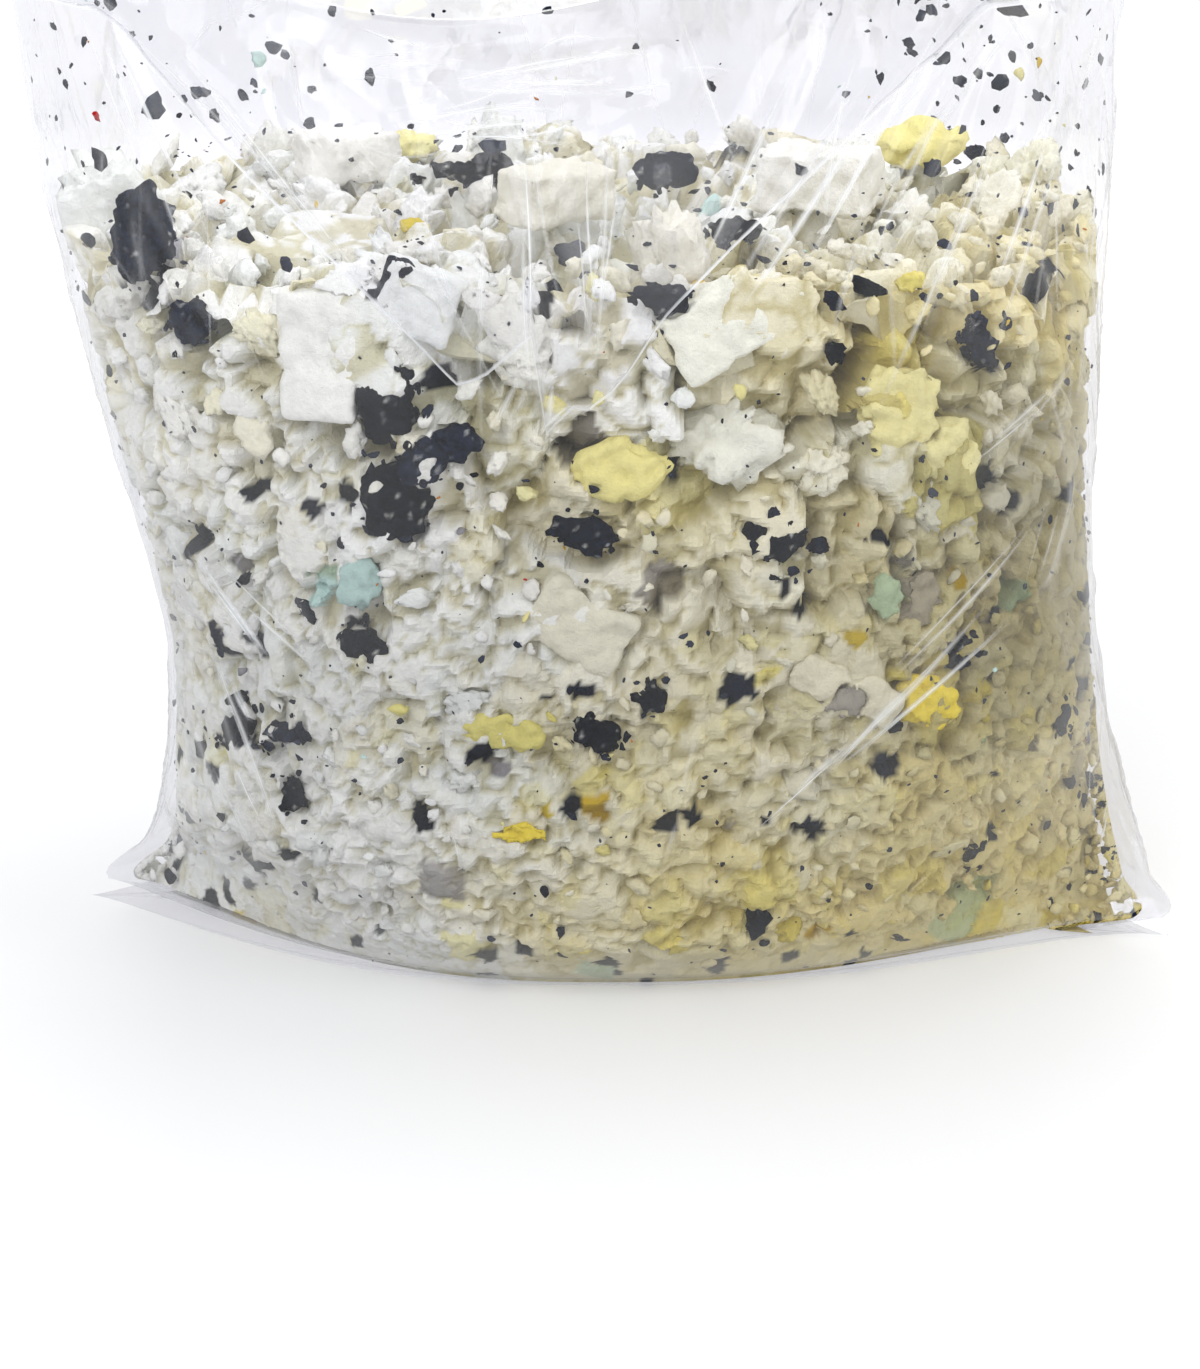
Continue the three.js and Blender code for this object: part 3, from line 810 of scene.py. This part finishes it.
def make_heap():
    """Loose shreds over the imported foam, torn bits round the dark ones and some in the lower corners."""
    rng = np.random.default_rng(11)
    heap = Heap(rng)
    points, triangles = node_mesh(FILL_NODE)
    in_pocket = pocket_test()
    spots, normals = scatter_on(points, triangles, LOOSE_CANDIDATES, rng)
    above_sole = (spots[:, 2] > 3 * MM) & (normals[:, 2] > -0.75)
    free = np.array([not in_pocket(spot, 2.5 * MM) for spot in spots])
    spots, normals = spots[above_sole & free], normals[above_sole & free]
    sizes = loose_sizes(spots[:, 2], rng)
    kept = spread_out(spots, sizes, 0.9)
    kinds, tints = tints_for(spots, DARK_SHARE, rng)
    for i in kept:
        on_top = normals[i][2] > TOP_NORMAL
        sink = rng.uniform(0.1, 0.35) if on_top else rng.uniform(0.20, 0.45)
        press = 0.9 if on_top else 0.15
        heap.add(kinds[i], tints[i], spots[i], normals[i], sizes[i], sink, press)
    add_torn_bits(heap, points, triangles, rng)
    add_ear_shreds(heap, rng)
    return heap


def add_ear_shreds(heap, rng):
    """Small shreds that have worked their way out into the bag's two lower corners."""
    for side, rise, count in (LEFT_EAR, RIGHT_EAR):
        spots = np.zeros((count, 3))
        spots[:, 2] = rise * rng.random(count) ** 1.2 + 3 * MM
        spots[:, 0] = side * rng.uniform(*EAR_REACH, count)
        spots[:, 1] = rng.normal(-0.02 if side > 0 else 0.0, 0.018, count)
        spots = heap.shape.held_in(spots, 4 * MM)
        kinds, tints = tints_for(spots, 0.08, rng)
        for kind, tint, spot in zip(kinds, tints, spots):
            heap.add(kind, tint, spot, np.array((0, -1.0, 0)), rng.uniform(*EAR_SIZES), 0.0, 1.0)


def add_torn_bits(heap, points, triangles, rng):
    """Small bits torn off round each larger dark shred."""
    tree = BVHTree.FromPolygons(points.tolist(), triangles.tolist())
    tones = PALETTE["charcoal"]
    for name in shred_nodes:
        if not name.startswith("charcoal"):
            continue
        corners, _ = node_mesh(name)
        centre, reach = corners.mean(axis=0), np.ptp(corners, axis=0).max() / 2
        for _ in range(BITS_PER_SHRED):
            way = rng.normal(size=3)
            near = centre + way / np.linalg.norm(way) * reach * rng.uniform(0.8, 1.35)
            spot, normal, _, _ = tree.find_nearest(Vector(near))
            tint = np.array(tones[rng.integers(len(tones))])
            size = min(rng.lognormal(math.log(4.2), 0.45), 11) * MM
            heap.add("charcoal", tint, np.array(spot), np.array(normal), size, 0.0, 0.3)


# Larger shreds, each in the place of its own node


def make_large_shred(name, material, seed):
    """The node's solid, remeshed finely and torn: hollows and ragged edges cut into it."""
    kind = name.split("_")[0]
    cut = kind in CUT_KINDS
    passes = ROUNDING_PASSES["cut" if cut else "torn"]
    fine, points, normals = remeshed(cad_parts[name].data, LARGE_VOXEL, passes)
    size = np.ptp(points, axis=0).max()
    coarse = 0.10 * size * field(points, 2.6 / size, seed)
    ragged = 0.09 * size * field(points, 7.0 / size, seed + 0.3)
    torn = 1.7 * MM * field(points, 150, seed + 0.9)
    pits = 0.8 * MM * field(points, 380, seed + 0.7)
    depth = (0.6 if cut else 1.25) * (coarse + ragged + torn) + pits - (0.4 if cut else 0.9) * MM
    points += normals * np.minimum(depth, 0.8 * MM)[:, None]
    fine.vertices.foreach_set("co", points.ravel())
    rng = np.random.default_rng(seed)
    tones = PALETTE[kind]
    tint = np.array(tones[rng.integers(len(tones))]) * rng.uniform(0.97, 1.02)
    if kind not in ("charcoal", "gold"):
        # Partly real yellowing and partly painted shade: as on the small shreds, the tint is yellowed and
        # darkened by its place and darkened by level
        middle = points.mean(axis=0)[None]
        warm_and_shade = warmth_and_shade(middle)[0]
        tint = tint * (1 - warm_and_shade + warm_and_shade * SHADE_TINT) * painted_level_shade(middle[:, 2])[0]
    tints = np.tile(tint, (len(points), 1))
    if kind == "charcoal":
        dusted = smooth(field(points, 330, seed + 0.4), 0.42, 0.62)[:, None] * 0.5
        tints = tints * (1 - dusted) + np.array(CREAMS[0]) * dusted
    fine.materials.clear()
    fine.materials.append(material)
    fine.polygons.foreach_set("use_smooth", [True] * len(fine.polygons))
    add_tints(fine, tints)
    fine.update()
    piece = bpy.data.objects.new(f"torn_{name}", fine)
    bpy.context.scene.collection.objects.link(piece)
    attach(piece, "root")
    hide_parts(name)
    return piece


# Film


def measure_reaches():
    """Reach of the film to the left, right, front and back at each level that its node has a ring."""
    points, _ = node_mesh(FILM_NODE)
    rows = []
    for level in np.unique(np.round(points[:, 2], 5)):
        ring = points[np.abs(points[:, 2] - level) < 0.2 * MM]
        if level <= HEAP_LEVEL + 1 * MM and len(ring) >= 60:
            rows.append((level, -ring[:, 0].min(), ring[:, 0].max(), -ring[:, 1].min(), ring[:, 1].max()))
    above = points[points[:, 2] > MOUTH_LEVEL - 2 * MM]
    stand = CUFF_STAND
    rows.append((MOUTH_LEVEL, -above[:, 0].min() - stand, above[:, 0].max() - stand,
                 -above[:, 1].min() - stand, above[:, 1].max() - stand))
    return np.array(rows)


def curve_through(stations, reaches, levels):
    """A smooth curve through the stations, its slopes taken from their neighbours."""
    slopes = np.gradient(reaches, stations)
    i = np.clip(np.searchsorted(stations, levels) - 1, 0, len(stations) - 2)
    span = stations[i + 1] - stations[i]
    t = np.clip((levels - stations[i]) / span, 0, 1)
    rise = reaches[i + 1] - reaches[i]
    start = slopes[i] * span - rise
    end = rise - slopes[i + 1] * span
    return reaches[i] + rise * t + t * (1 - t) * (start * (1 - t) + end * t)


def signed_power(value, power):
    return np.sign(value) * np.abs(value) ** power


class BagShape:
    """The bag's plan shape at every level, read from its node: a body that pinches to ears low down."""

    def __init__(self):
        rows = measure_reaches()
        self.levels = rows[:, 0]
        self.reaches = rows[:, 1:].T

    def plan(self, level, to_right, in_front, inset=0.0):
        """Half width, half depth, how pinched the ears are and how sharp the plan is."""
        left, right, front, back = (curve_through(self.levels, r, level) - inset for r in self.reaches)
        ear = 1 - smooth(level / np.where(to_right, RIGHT_EAR_RISE, LEFT_EAR_RISE), 0, 1)
        width = np.where(to_right, right, left)
        depth = np.where(in_front, front, back)
        return width, depth, ear, BODY_ROUNDNESS + (EAR_SHARPNESS - BODY_ROUNDNESS) * ear

    def at(self, angle, level, out=0.0):
        """Points of the bag at angles and levels, moved outward by out."""
        to_right = np.cos(angle) >= 0
        width, depth, ear, sharpness = self.plan(level, to_right, np.sin(angle) < 0)
        across = (width + out) * signed_power(np.cos(angle), WIDTH_ROUNDNESS)
        forward = np.where(to_right, RIGHT_EAR_FORWARD * ear * (across / width) ** 4, 0)
        y = (depth + out) * signed_power(np.sin(angle), sharpness) - forward
        return np.stack((across, y, level * np.ones_like(across)), axis=-1)

    def held_in(self, points, inset):
        """Points that lie outside the film brought back to just inside it."""
        x, y, level = points.T
        level = np.maximum(level, inset)
        to_right = x >= 0
        width, depth, ear, sharpness = self.plan(level, to_right, y < 0, inset)
        width = width - EAR_WELD * ear
        forward = np.where(to_right, RIGHT_EAR_FORWARD * ear * np.minimum(np.abs(x) / width, 1) ** 4, 0)
        x = np.clip(x, -width, width)
        room = np.maximum(1 - np.abs(x / width) ** (2 / WIDTH_ROUNDNESS), 0) ** (sharpness / 2) * depth
        y = np.clip(y + forward, -room, room) - forward
        return np.stack((x, y, level), axis=1)

    def mouth(self, angle):
        """Level of the fold at each angle, with a dip at the front and another at the back."""
        x = self.at(angle, np.full_like(angle, MOUTH_LEVEL))[..., 0]
        front = np.maximum(0, -np.sin(angle))
        behind = np.maximum(0, np.sin(angle))
        dip = MOUTH_DIP * np.exp(-(((x - MOUTH_DIP_X) / MOUTH_DIP_WIDTH) ** 2)) * np.sqrt(front)
        return MOUTH_LEVEL - dip - BACK_DIP * behind

    def hem(self, angle):
        """Level of the turned-out film's edge: a point at the front, a short even cuff elsewhere."""
        short = self.mouth(angle) - CUFF_LENGTH
        x = self.at(angle, np.full_like(angle, HEM_CHECK_LEVEL))[..., 0]
        hem_x, hem_z = np.array(HEM).T * MM
        pointed = np.interp(x, hem_x, hem_z)
        return np.where(np.sin(angle) < 0, np.minimum(short, pointed), short)


def crease_height(across, up, start, end, width, height):
    """A sharp ridge from start to end that dies out at both ends."""
    start, end = np.array(start) * MM, np.array(end) * MM
    way = end - start
    length = np.linalg.norm(way)
    way = way / length
    dx, dz = across - start[0], up - start[1]
    along = (dx * way[0] + dz * way[1]) / length
    off = np.abs(-dx * way[1] + dz * way[0])
    bow = 0.03 * length * np.sin(math.pi * np.clip(along, 0, 1))
    off = np.abs(off - bow)
    ends = np.clip(np.minimum(along, 1 - along) * 5, 0, 1)
    return height * MM * ends * np.maximum(0, 1 - off / (width * MM))


def random_creases(rng, perimeter):
    """Slack wrinkles all round: near upright over the heap, fanning from the corners low down."""
    rows = []
    half = perimeter / MM / 2
    for _ in range(SLACK_WRINKLES):
        s, z = rng.uniform(-half, half), rng.uniform(330, 450)
        lean, length = rng.normal(0.25, 0.45), rng.uniform(50, 150)
        rows.append(((s, z), (s + length * lean, z - length), rng.uniform(4, 8), rng.uniform(1.0, 3.0)))
    for _ in range(LOW_WRINKLES):
        s, z = rng.uniform(-half, half), rng.uniform(20, 330)
        turn, length = rng.uniform(0, math.pi), rng.uniform(20, 80)
        rows.append(((s, z), (s + length * math.cos(turn), z + length * math.sin(turn)),
                     rng.uniform(4, 7), rng.uniform(0.6, 2.0)))
    for corner in (-EAR_SHARE * perimeter / MM, EAR_SHARE * perimeter / MM):
        for _ in range(EAR_WRINKLES):
            turn, length = rng.uniform(0.1, math.pi - 0.1), rng.uniform(60, 190)
            near = rng.uniform(12, 45)
            rows.append(((corner + near * math.cos(turn), near * math.sin(turn)),
                         (corner + length * math.cos(turn), length * math.sin(turn)),
                         rng.uniform(4, 7), rng.uniform(1.0, 2.6)))
    return rows


def film_rows(shape):
    """Rings of points from the middle of the sole to the hem, and which part each one is in."""
    share = np.arange(COLUMNS) / COLUMNS
    front_angle = -math.pi + math.pi * share / FRONT_SHARE
    back_angle = math.pi * (share - FRONT_SHARE) / (1 - FRONT_SHARE)
    angle = np.where(share < FRONT_SHARE, front_angle, back_angle)
    mouth, hem = shape.mouth(angle), shape.hem(angle)
    rows, parts = [], []
    sole = shape.at(angle, np.zeros(COLUMNS))
    seam = sole * np.array((1.0, 0.0, 1.0))
    for i in range(SOLE_ROWS):
        rows.append(seam + (sole - seam) * (i + 0.5) / SOLE_ROWS)
        parts.append(SOLE)
    for i in range(WALL_ROWS):
        rows.append(shape.at(angle, mouth * i / (WALL_ROWS - 1)))
        parts.append(WALL)
    for i in range(FOLD_ROWS):
        turn = math.pi * (i + 1) / (FOLD_ROWS + 1)
        ring = shape.at(angle, mouth, FOLD_RADIUS * (1 - math.cos(turn)))
        ring[:, 2] = mouth + FOLD_RADIUS * math.sin(turn)
        rows.append(ring)
        parts.append(FOLD)
    steps = [((i + 1) / CUFF_ROWS, 0) for i in range(CUFF_ROWS - 1)] + [(1, 2), (1, 1), (1, 0)]
    for t, above_hem in steps:
        level = mouth + (hem - mouth) * t + HEM_WIDTH * above_hem
        billow = CUFF_STAND - 2 * FOLD_RADIUS + CUFF_BILLOW * math.sin(math.pi * t)
        rows.append(shape.at(angle, level, 2 * FOLD_RADIUS + billow * smooth(t, 0, 0.3)))
        parts.append(CUFF)
    return np.array(rows), np.array(parts)


def film_faces(count):
    """Four-sided faces between the rings, and across the slit in the middle of the sole."""
    faces = []
    for i in range(count - 1):
        for j in range(COLUMNS):
            k = (j + 1) % COLUMNS
            faces.append((i * COLUMNS + j, i * COLUMNS + k, (i + 1) * COLUMNS + k, (i + 1) * COLUMNS + j))
    for j in range(1, COLUMNS // 2):
        k = COLUMNS - j
        faces.append((j - 1, j, k % COLUMNS, (k + 1) % COLUMNS))
    return faces


def make_film(material):
    """The whole film: its sheet, pushed into creases, and painted highlight lines along the sharpest ones.
    """
    rng = np.random.default_rng(5)
    grid, parts = film_rows(BagShape())
    grid, milk_and_highlight = crease_film(grid, parts, rng)
    # Painted highlight along the hem's edge
    milk_and_highlight[-2:] = HEM_HIGHLIGHT
    milk_and_highlight[-3] = 0
    cuff = grid[-CUFF_ROWS - 2:, :, ::2]
    from_tip = np.linalg.norm(cuff - np.array(HEM_TIP) * MM, axis=2)
    tip_milk = TIP_MILK * (1 - smooth(from_tip, *TIP_REACH))
    milk_and_highlight[-CUFF_ROWS - 2:] = np.maximum(milk_and_highlight[-CUFF_ROWS - 2:], tip_milk)
    faces = film_faces(len(grid))
    lines, quads, line_highlight = make_highlight_streaks(grid, faces, rng)
    sheet_points = COLUMNS * len(grid)
    faces += [tuple(corner + sheet_points for corner in quad) for quad in quads]
    piece = mesh_object("film", np.vstack((grid.reshape(-1, 3), lines)), faces, material)
    piece.data.materials.append(crease_highlight_material())
    for face in piece.data.polygons[-len(quads):]:
        face.material_index = 1
    # Painted highlights along creases and hem, with the milky lower corners and tip, as one attribute
    layer = piece.data.attributes.new("MilkAndHighlight", "FLOAT", "POINT")
    layer.data.foreach_set("value", np.concatenate((milk_and_highlight.ravel(), line_highlight)).astype(np.float32))
    return piece


def streak_lines(rng):
    """Each painted highlight streak's face, its two ends as across and up, its width, its strength and its
    bow, in metres.
    """
    for start, end, width, height in FRONT_CREASES:
        for _ in range(FAN_LINES):
            shift = rng.normal(0, 3.0, 2)
            near, far = rng.uniform(0, 0.35), rng.uniform(0.65, 1)
            a, b = np.array(start) + shift, np.array(end) + shift * 0.7
            yield ("front", (a + (b - a) * near) * MM, (a + (b - a) * far) * MM,
                   rng.uniform(1.0, 5.0) * MM, rng.uniform(0.3, 0.9), rng.normal(0, 0.012))
    for face, (high_count, low_count) in STREAK_COUNTS.items():
        reach = 0.22 if face in ("front", "back") else 0.10
        for i in range(high_count + low_count):
            high = i < high_count
            x = rng.uniform(-reach, reach)
            z = rng.uniform(0.32, 0.44) if high else rng.uniform(0.04, 0.28)
            turn = rng.normal(math.pi / 2 - 1.6 * x, 0.22) if high else rng.uniform(0.7, 2.4)
            length = rng.uniform(0.05, 0.16) if high else rng.uniform(0.02, 0.07)
            way = np.array((math.cos(turn), math.sin(turn))) * length
            middle = np.array((x, z))
            low_end, high_end = middle - way / 2, middle + way / 2
            high_end[1] = min(high_end[1], 0.448)
            yield (face, low_end, high_end, rng.uniform(1.2, 4.5) * MM,
                   rng.uniform(0.12, 0.5), rng.normal(0, 0.02))
    for _ in range(MOUTH_STREAKS):
        middle = np.array((rng.uniform(-0.10, 0.05), rng.uniform(0.395, 0.440)))
        way = np.array((rng.uniform(0.02, 0.06), rng.normal(0, 0.007)))
        yield ("front", middle - way / 2, middle + way / 2, rng.uniform(1.0, 3.2) * MM,
               rng.uniform(0.2, 0.8), rng.normal(0, 0.08))


def make_highlight_streaks(grid, faces, rng):
    """Painted highlights: narrow strips along the sharp creases, painted white along the middle and clear at
    their edges.
    """
    tree = BVHTree.FromPolygons(grid.reshape(-1, 3).tolist(), faces)
    points, quads, milk_and_highlight = [], [], []
    for face, start, end, width, strength, bow in streak_lines(rng):
        across, inward = VIEW_OF_FACE[face]
        way = end - start
        side = np.array((-way[1], way[0])) / np.linalg.norm(way)
        strip = []
        for i in range(STREAK_STEPS + 1):
            t = i / STREAK_STEPS
            shape = math.sin(math.pi * t)
            middle = start + way * t + side * bow * shape * np.linalg.norm(way)
            for place in (-0.5, 0, 0.5):
                u, z = middle + side * place * width * max(shape, 0.15) ** 0.5
                outside = Vector((across[0] * u - inward[0], across[1] * u - inward[1], z))
                hit = tree.ray_cast(outside, Vector((inward[0], inward[1], 0)))[0]
                if hit is not None:
                    stand = Vector((inward[0], inward[1], 0)) * STREAK_STAND
                    strip.append((hit - stand, strength * shape if place == 0 else 0.0))
        if len(strip) < 3 * (STREAK_STEPS + 1):
            continue
        first = len(points)
        points += [point for point, _ in strip]
        milk_and_highlight += [white for _, white in strip]
        for i in range(STREAK_STEPS):
            for j in (0, 1):
                corner = first + 3 * i + j
                quads.append((corner, corner + 1, corner + 4, corner + 3))
    return np.array(points), quads, np.array(milk_and_highlight)


def crease_film(grid, parts, rng):
    """Pushes the film outward along its creases, wrinkles and the bumps of what presses on it, and gives
    where it is painted white: painted highlights along the crease ridges, and milky lower corners.
    """
    down = np.gradient(grid, axis=0)
    across = (np.roll(grid, -1, axis=1) - np.roll(grid, 1, axis=1)) / 2
    normal = np.cross(across, down)
    normal /= np.maximum(np.linalg.norm(normal, axis=2), 1e-9)[:, :, None]
    centre = grid.mean(axis=(0, 1))
    wall_row = SOLE_ROWS + WALL_ROWS // 2
    outward = (normal[wall_row] * (grid[wall_row] - centre)).sum()
    normal *= np.sign(outward)
    steps = np.linalg.norm(np.roll(grid[wall_row], -1, axis=0) - grid[wall_row], axis=1)
    lengths = np.concatenate(((0,), np.cumsum(steps)[:-1]))
    perimeter = steps.sum()
    front_middle = np.argmin(np.abs(grid[wall_row, :, 0]) + (grid[wall_row, :, 1] > 0))
    s = (lengths - lengths[front_middle] + perimeter / 2) % perimeter - perimeter / 2
    s = np.broadcast_to(s, grid.shape[:2])
    z = grid[:, :, 2]
    push = np.zeros(grid.shape[:2])
    milk_and_highlight = np.zeros(grid.shape[:2])
    front = grid[:, :, 1] < 0
    for start, end, width, height in FRONT_CREASES:
        ridge = np.where(front, crease_height(grid[:, :, 0], z, start, end, width, height), 0)
        push = np.maximum(push, ridge)
        # Painted highlight along the ridge of each front crease
        milk_and_highlight = np.maximum(milk_and_highlight, FRONT_CREASE_HIGHLIGHT * smooth(ridge / (height * MM), 0.55, 0.95))
    for start, end, width, height in random_creases(rng, perimeter):
        ridge = crease_height(s, z, start, end, width, height)
        push = np.maximum(push, ridge)
        # Painted highlight along the ridge of each random crease
        milk_and_highlight = np.maximum(milk_and_highlight, CREASE_HIGHLIGHT * smooth(ridge / (height * MM), 0.6, 0.95) * min(height / 3, 1))
    at_ear = smooth(np.abs(grid[:, :, 0]), *EAR_MILK_REACH) * (z < EAR_MILK_RISE)
    milk_and_highlight = np.maximum(milk_and_highlight, EAR_MILK * at_ear)
    slack = smooth(z, HEAP_LEVEL - 20 * MM, HEAP_LEVEL + 60 * MM)
    flat = grid.reshape(-1, 3)
    billow = field(flat * np.array((1, 1, 0.45)), 16, 3.1).reshape(z.shape)
    wrinkle = field(flat * np.array((1, 1, 0.3)), 45, 4.7).reshape(z.shape)
    bumps = field(flat, 60, 8.9).reshape(z.shape)
    push = push + 0.5 * MM * (1 + bumps)
    push = push + slack * (4.5 * MM * billow + 1.8 * MM * wrinkle)
    folded = parts[:, None] == CUFF
    drape = field(flat * np.array((1, 1, 0.2)), 60, 6.3).reshape(z.shape)
    push = push + np.where(folded, 1.5 * MM * (1 + drape), 0)
    push = np.minimum(push, PUSH_LIMIT)
    wall = (parts[:, None] == WALL) | folded
    kept = np.where(wall, push, 0)
    rise = smooth(z, 4 * MM, 45 * MM)
    return grid + normal * (kept * rise)[:, :, None], milk_and_highlight


# Crumbs that cling to the film and lie on the foam


def make_crumbs(material):
    """Fine dark crumbs over the foam, and some that cling to the film above it in a few clusters."""
    rng = np.random.default_rng(23)
    shapes = {}
    for level in (1, 2):
        directions, faces = ball(level)
        shapes[level] = ([torn_form(directions, rng, 40 + seed) for seed in range(CRUMB_FORMS)], faces)
    points, triangles = node_mesh(FILL_NODE)
    spots, normals = scatter_on(points, triangles, CRUMBS_ON_FOAM, rng)
    keep = (spots[:, 2] > 4 * MM) & (normals[:, 2] > -0.7)
    on_foam = list(zip(spots[keep], normals[keep]))
    shape = BagShape()
    parts = []

    def place(spot, normal, size, flatten):
        tones = CRUMB_TONES if rng.random() < 0.95 else BRIGHT_TONES
        tint = np.array(tones[rng.integers(len(tones))])
        forms, faces = shapes[2 if size > FINE_CRUMB else 1]
        crumb = forms[rng.integers(len(forms))] @ turned(rng).T * size
        crumb -= (crumb @ normal)[:, None] * normal * flatten
        parts.append((crumb + spot, faces, np.tile(tint, (len(crumb), 1))))

    for spot, normal in on_foam:
        size = min(1.3 * MM * math.exp(rng.normal(0.45, 0.55)), 8 * MM)
        place(spot + normal * 0.3 * MM, normal, size, 0.5)
    for _ in range(CRUMBS_ABOVE):
        corner = rng.choice(CRUMB_CLUSTERS, p=CRUMB_SHARES)
        angle = corner + rng.normal(0, 0.35)
        level = rng.uniform(HEAP_LEVEL, CRUMB_TOP)
        pair = np.array((angle, angle + 0.01))
        spot, beside = shape.at(pair, np.full(2, level), -CRUMB_INSET)
        ahead = beside - spot
        normal = np.array((ahead[1], -ahead[0], 0))
        normal /= np.linalg.norm(normal)
        size = min(2.0 * MM * math.exp(rng.normal(0.55, 0.6)), 14 * MM)
        place(spot, normal, size, 0.7)
    return joined("crumbs", parts, material)


# Stage

def make_stage():
    size = FLOOR_SIZE
    corners = [(-size, -size, 0), (size, -size, 0), (size, size, 0), (-size, size, 0)]
    floor = mesh_object("floor", corners, [(0, 1, 2, 3)], floor_material())


def area_light(name, place, aim, size, power, colour):
    data = bpy.data.lights.new(name, "AREA")
    data.shape = "RECTANGLE"
    data.size, data.size_y = size
    data.energy = power
    data.color = colour
    lamp = bpy.data.objects.new(name, data)
    lamp.location = place
    lamp.rotation_euler = (Vector(aim) - Vector(place)).to_track_quat("-Z", "Y").to_euler()
    bpy.context.scene.collection.objects.link(lamp)


def make_lights():
    for name, (place, size, power, colour) in LAMPS.items():
        area_light(name, place, LAMP_AIM, size, power, colour)


def make_world():
    world = bpy.data.worlds.new("studio")
    bpy.context.scene.world = world
    world.use_nodes = True
    graph = Graph(world.node_tree)
    output = graph.add("OutputWorld")
    soft = graph.add("Background", Color=WORLD_COLOUR, Strength=WORLD_LIGHT)
    white = graph.add("Background", Color=WHITE, Strength=1.0)
    pick = graph.add("MixShader")
    graph.wire(
        (graph.seen_directly(), "Value", pick, "Fac"),
        (soft, "Background", pick, 1),
        (white, "Background", pick, 2),
        (pick, "Shader", output, "Surface"),
    )


def make_camera():
    data = bpy.data.cameras.new("camera")
    data.sensor_width = SENSOR
    data.lens = SENSOR * FOCAL_PIXELS / FRAME_LONG_SIDE
    camera = bpy.data.objects.new("camera", data)
    back = Vector((0, -math.cos(CAMERA_ELEVATION), math.sin(CAMERA_ELEVATION)))
    camera.location = CAMERA_AIM + back * CAMERA_DISTANCE
    camera.rotation_euler = (-back).to_track_quat("-Z", "Y").to_euler()
    bpy.context.scene.collection.objects.link(camera)
    bpy.context.scene.camera = camera


bpy.context.scene.view_settings.view_transform = "Standard"
make_camera()
make_world()
make_lights()
make_stage()

foam = foam_material("torn_foam", 1.7 * MM, 0.9 * MM, 0.92, 1.03)
# The dark foam's lighter mottling, far stronger than the white foam's, is partly random tone and partly a
# painted sheen
dark_foam_and_sheen = foam_material("dark_torn_foam_and_sheen", 1.3 * MM, 1.2 * MM, 0.35, 2.4)
for packed in make_packed_foam(foam):
    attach(packed, "root")
    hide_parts(FILL_NODE)
heap = make_heap()
for piece, kind in heap.pieces({"charcoal": dark_foam_and_sheen}, foam, PIECE_LIMIT):
    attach(piece, "root")
    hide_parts(FILL_NODE)
for number, name in enumerate(shred_nodes):
    make_large_shred(name, dark_foam_and_sheen if name.startswith("charcoal") else foam, number + 1)
crumbs = make_crumbs(foam)
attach(crumbs, "root")
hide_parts(FILL_NODE)

film = make_film(film_material())
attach(film, "root")
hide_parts(FILM_NODE)
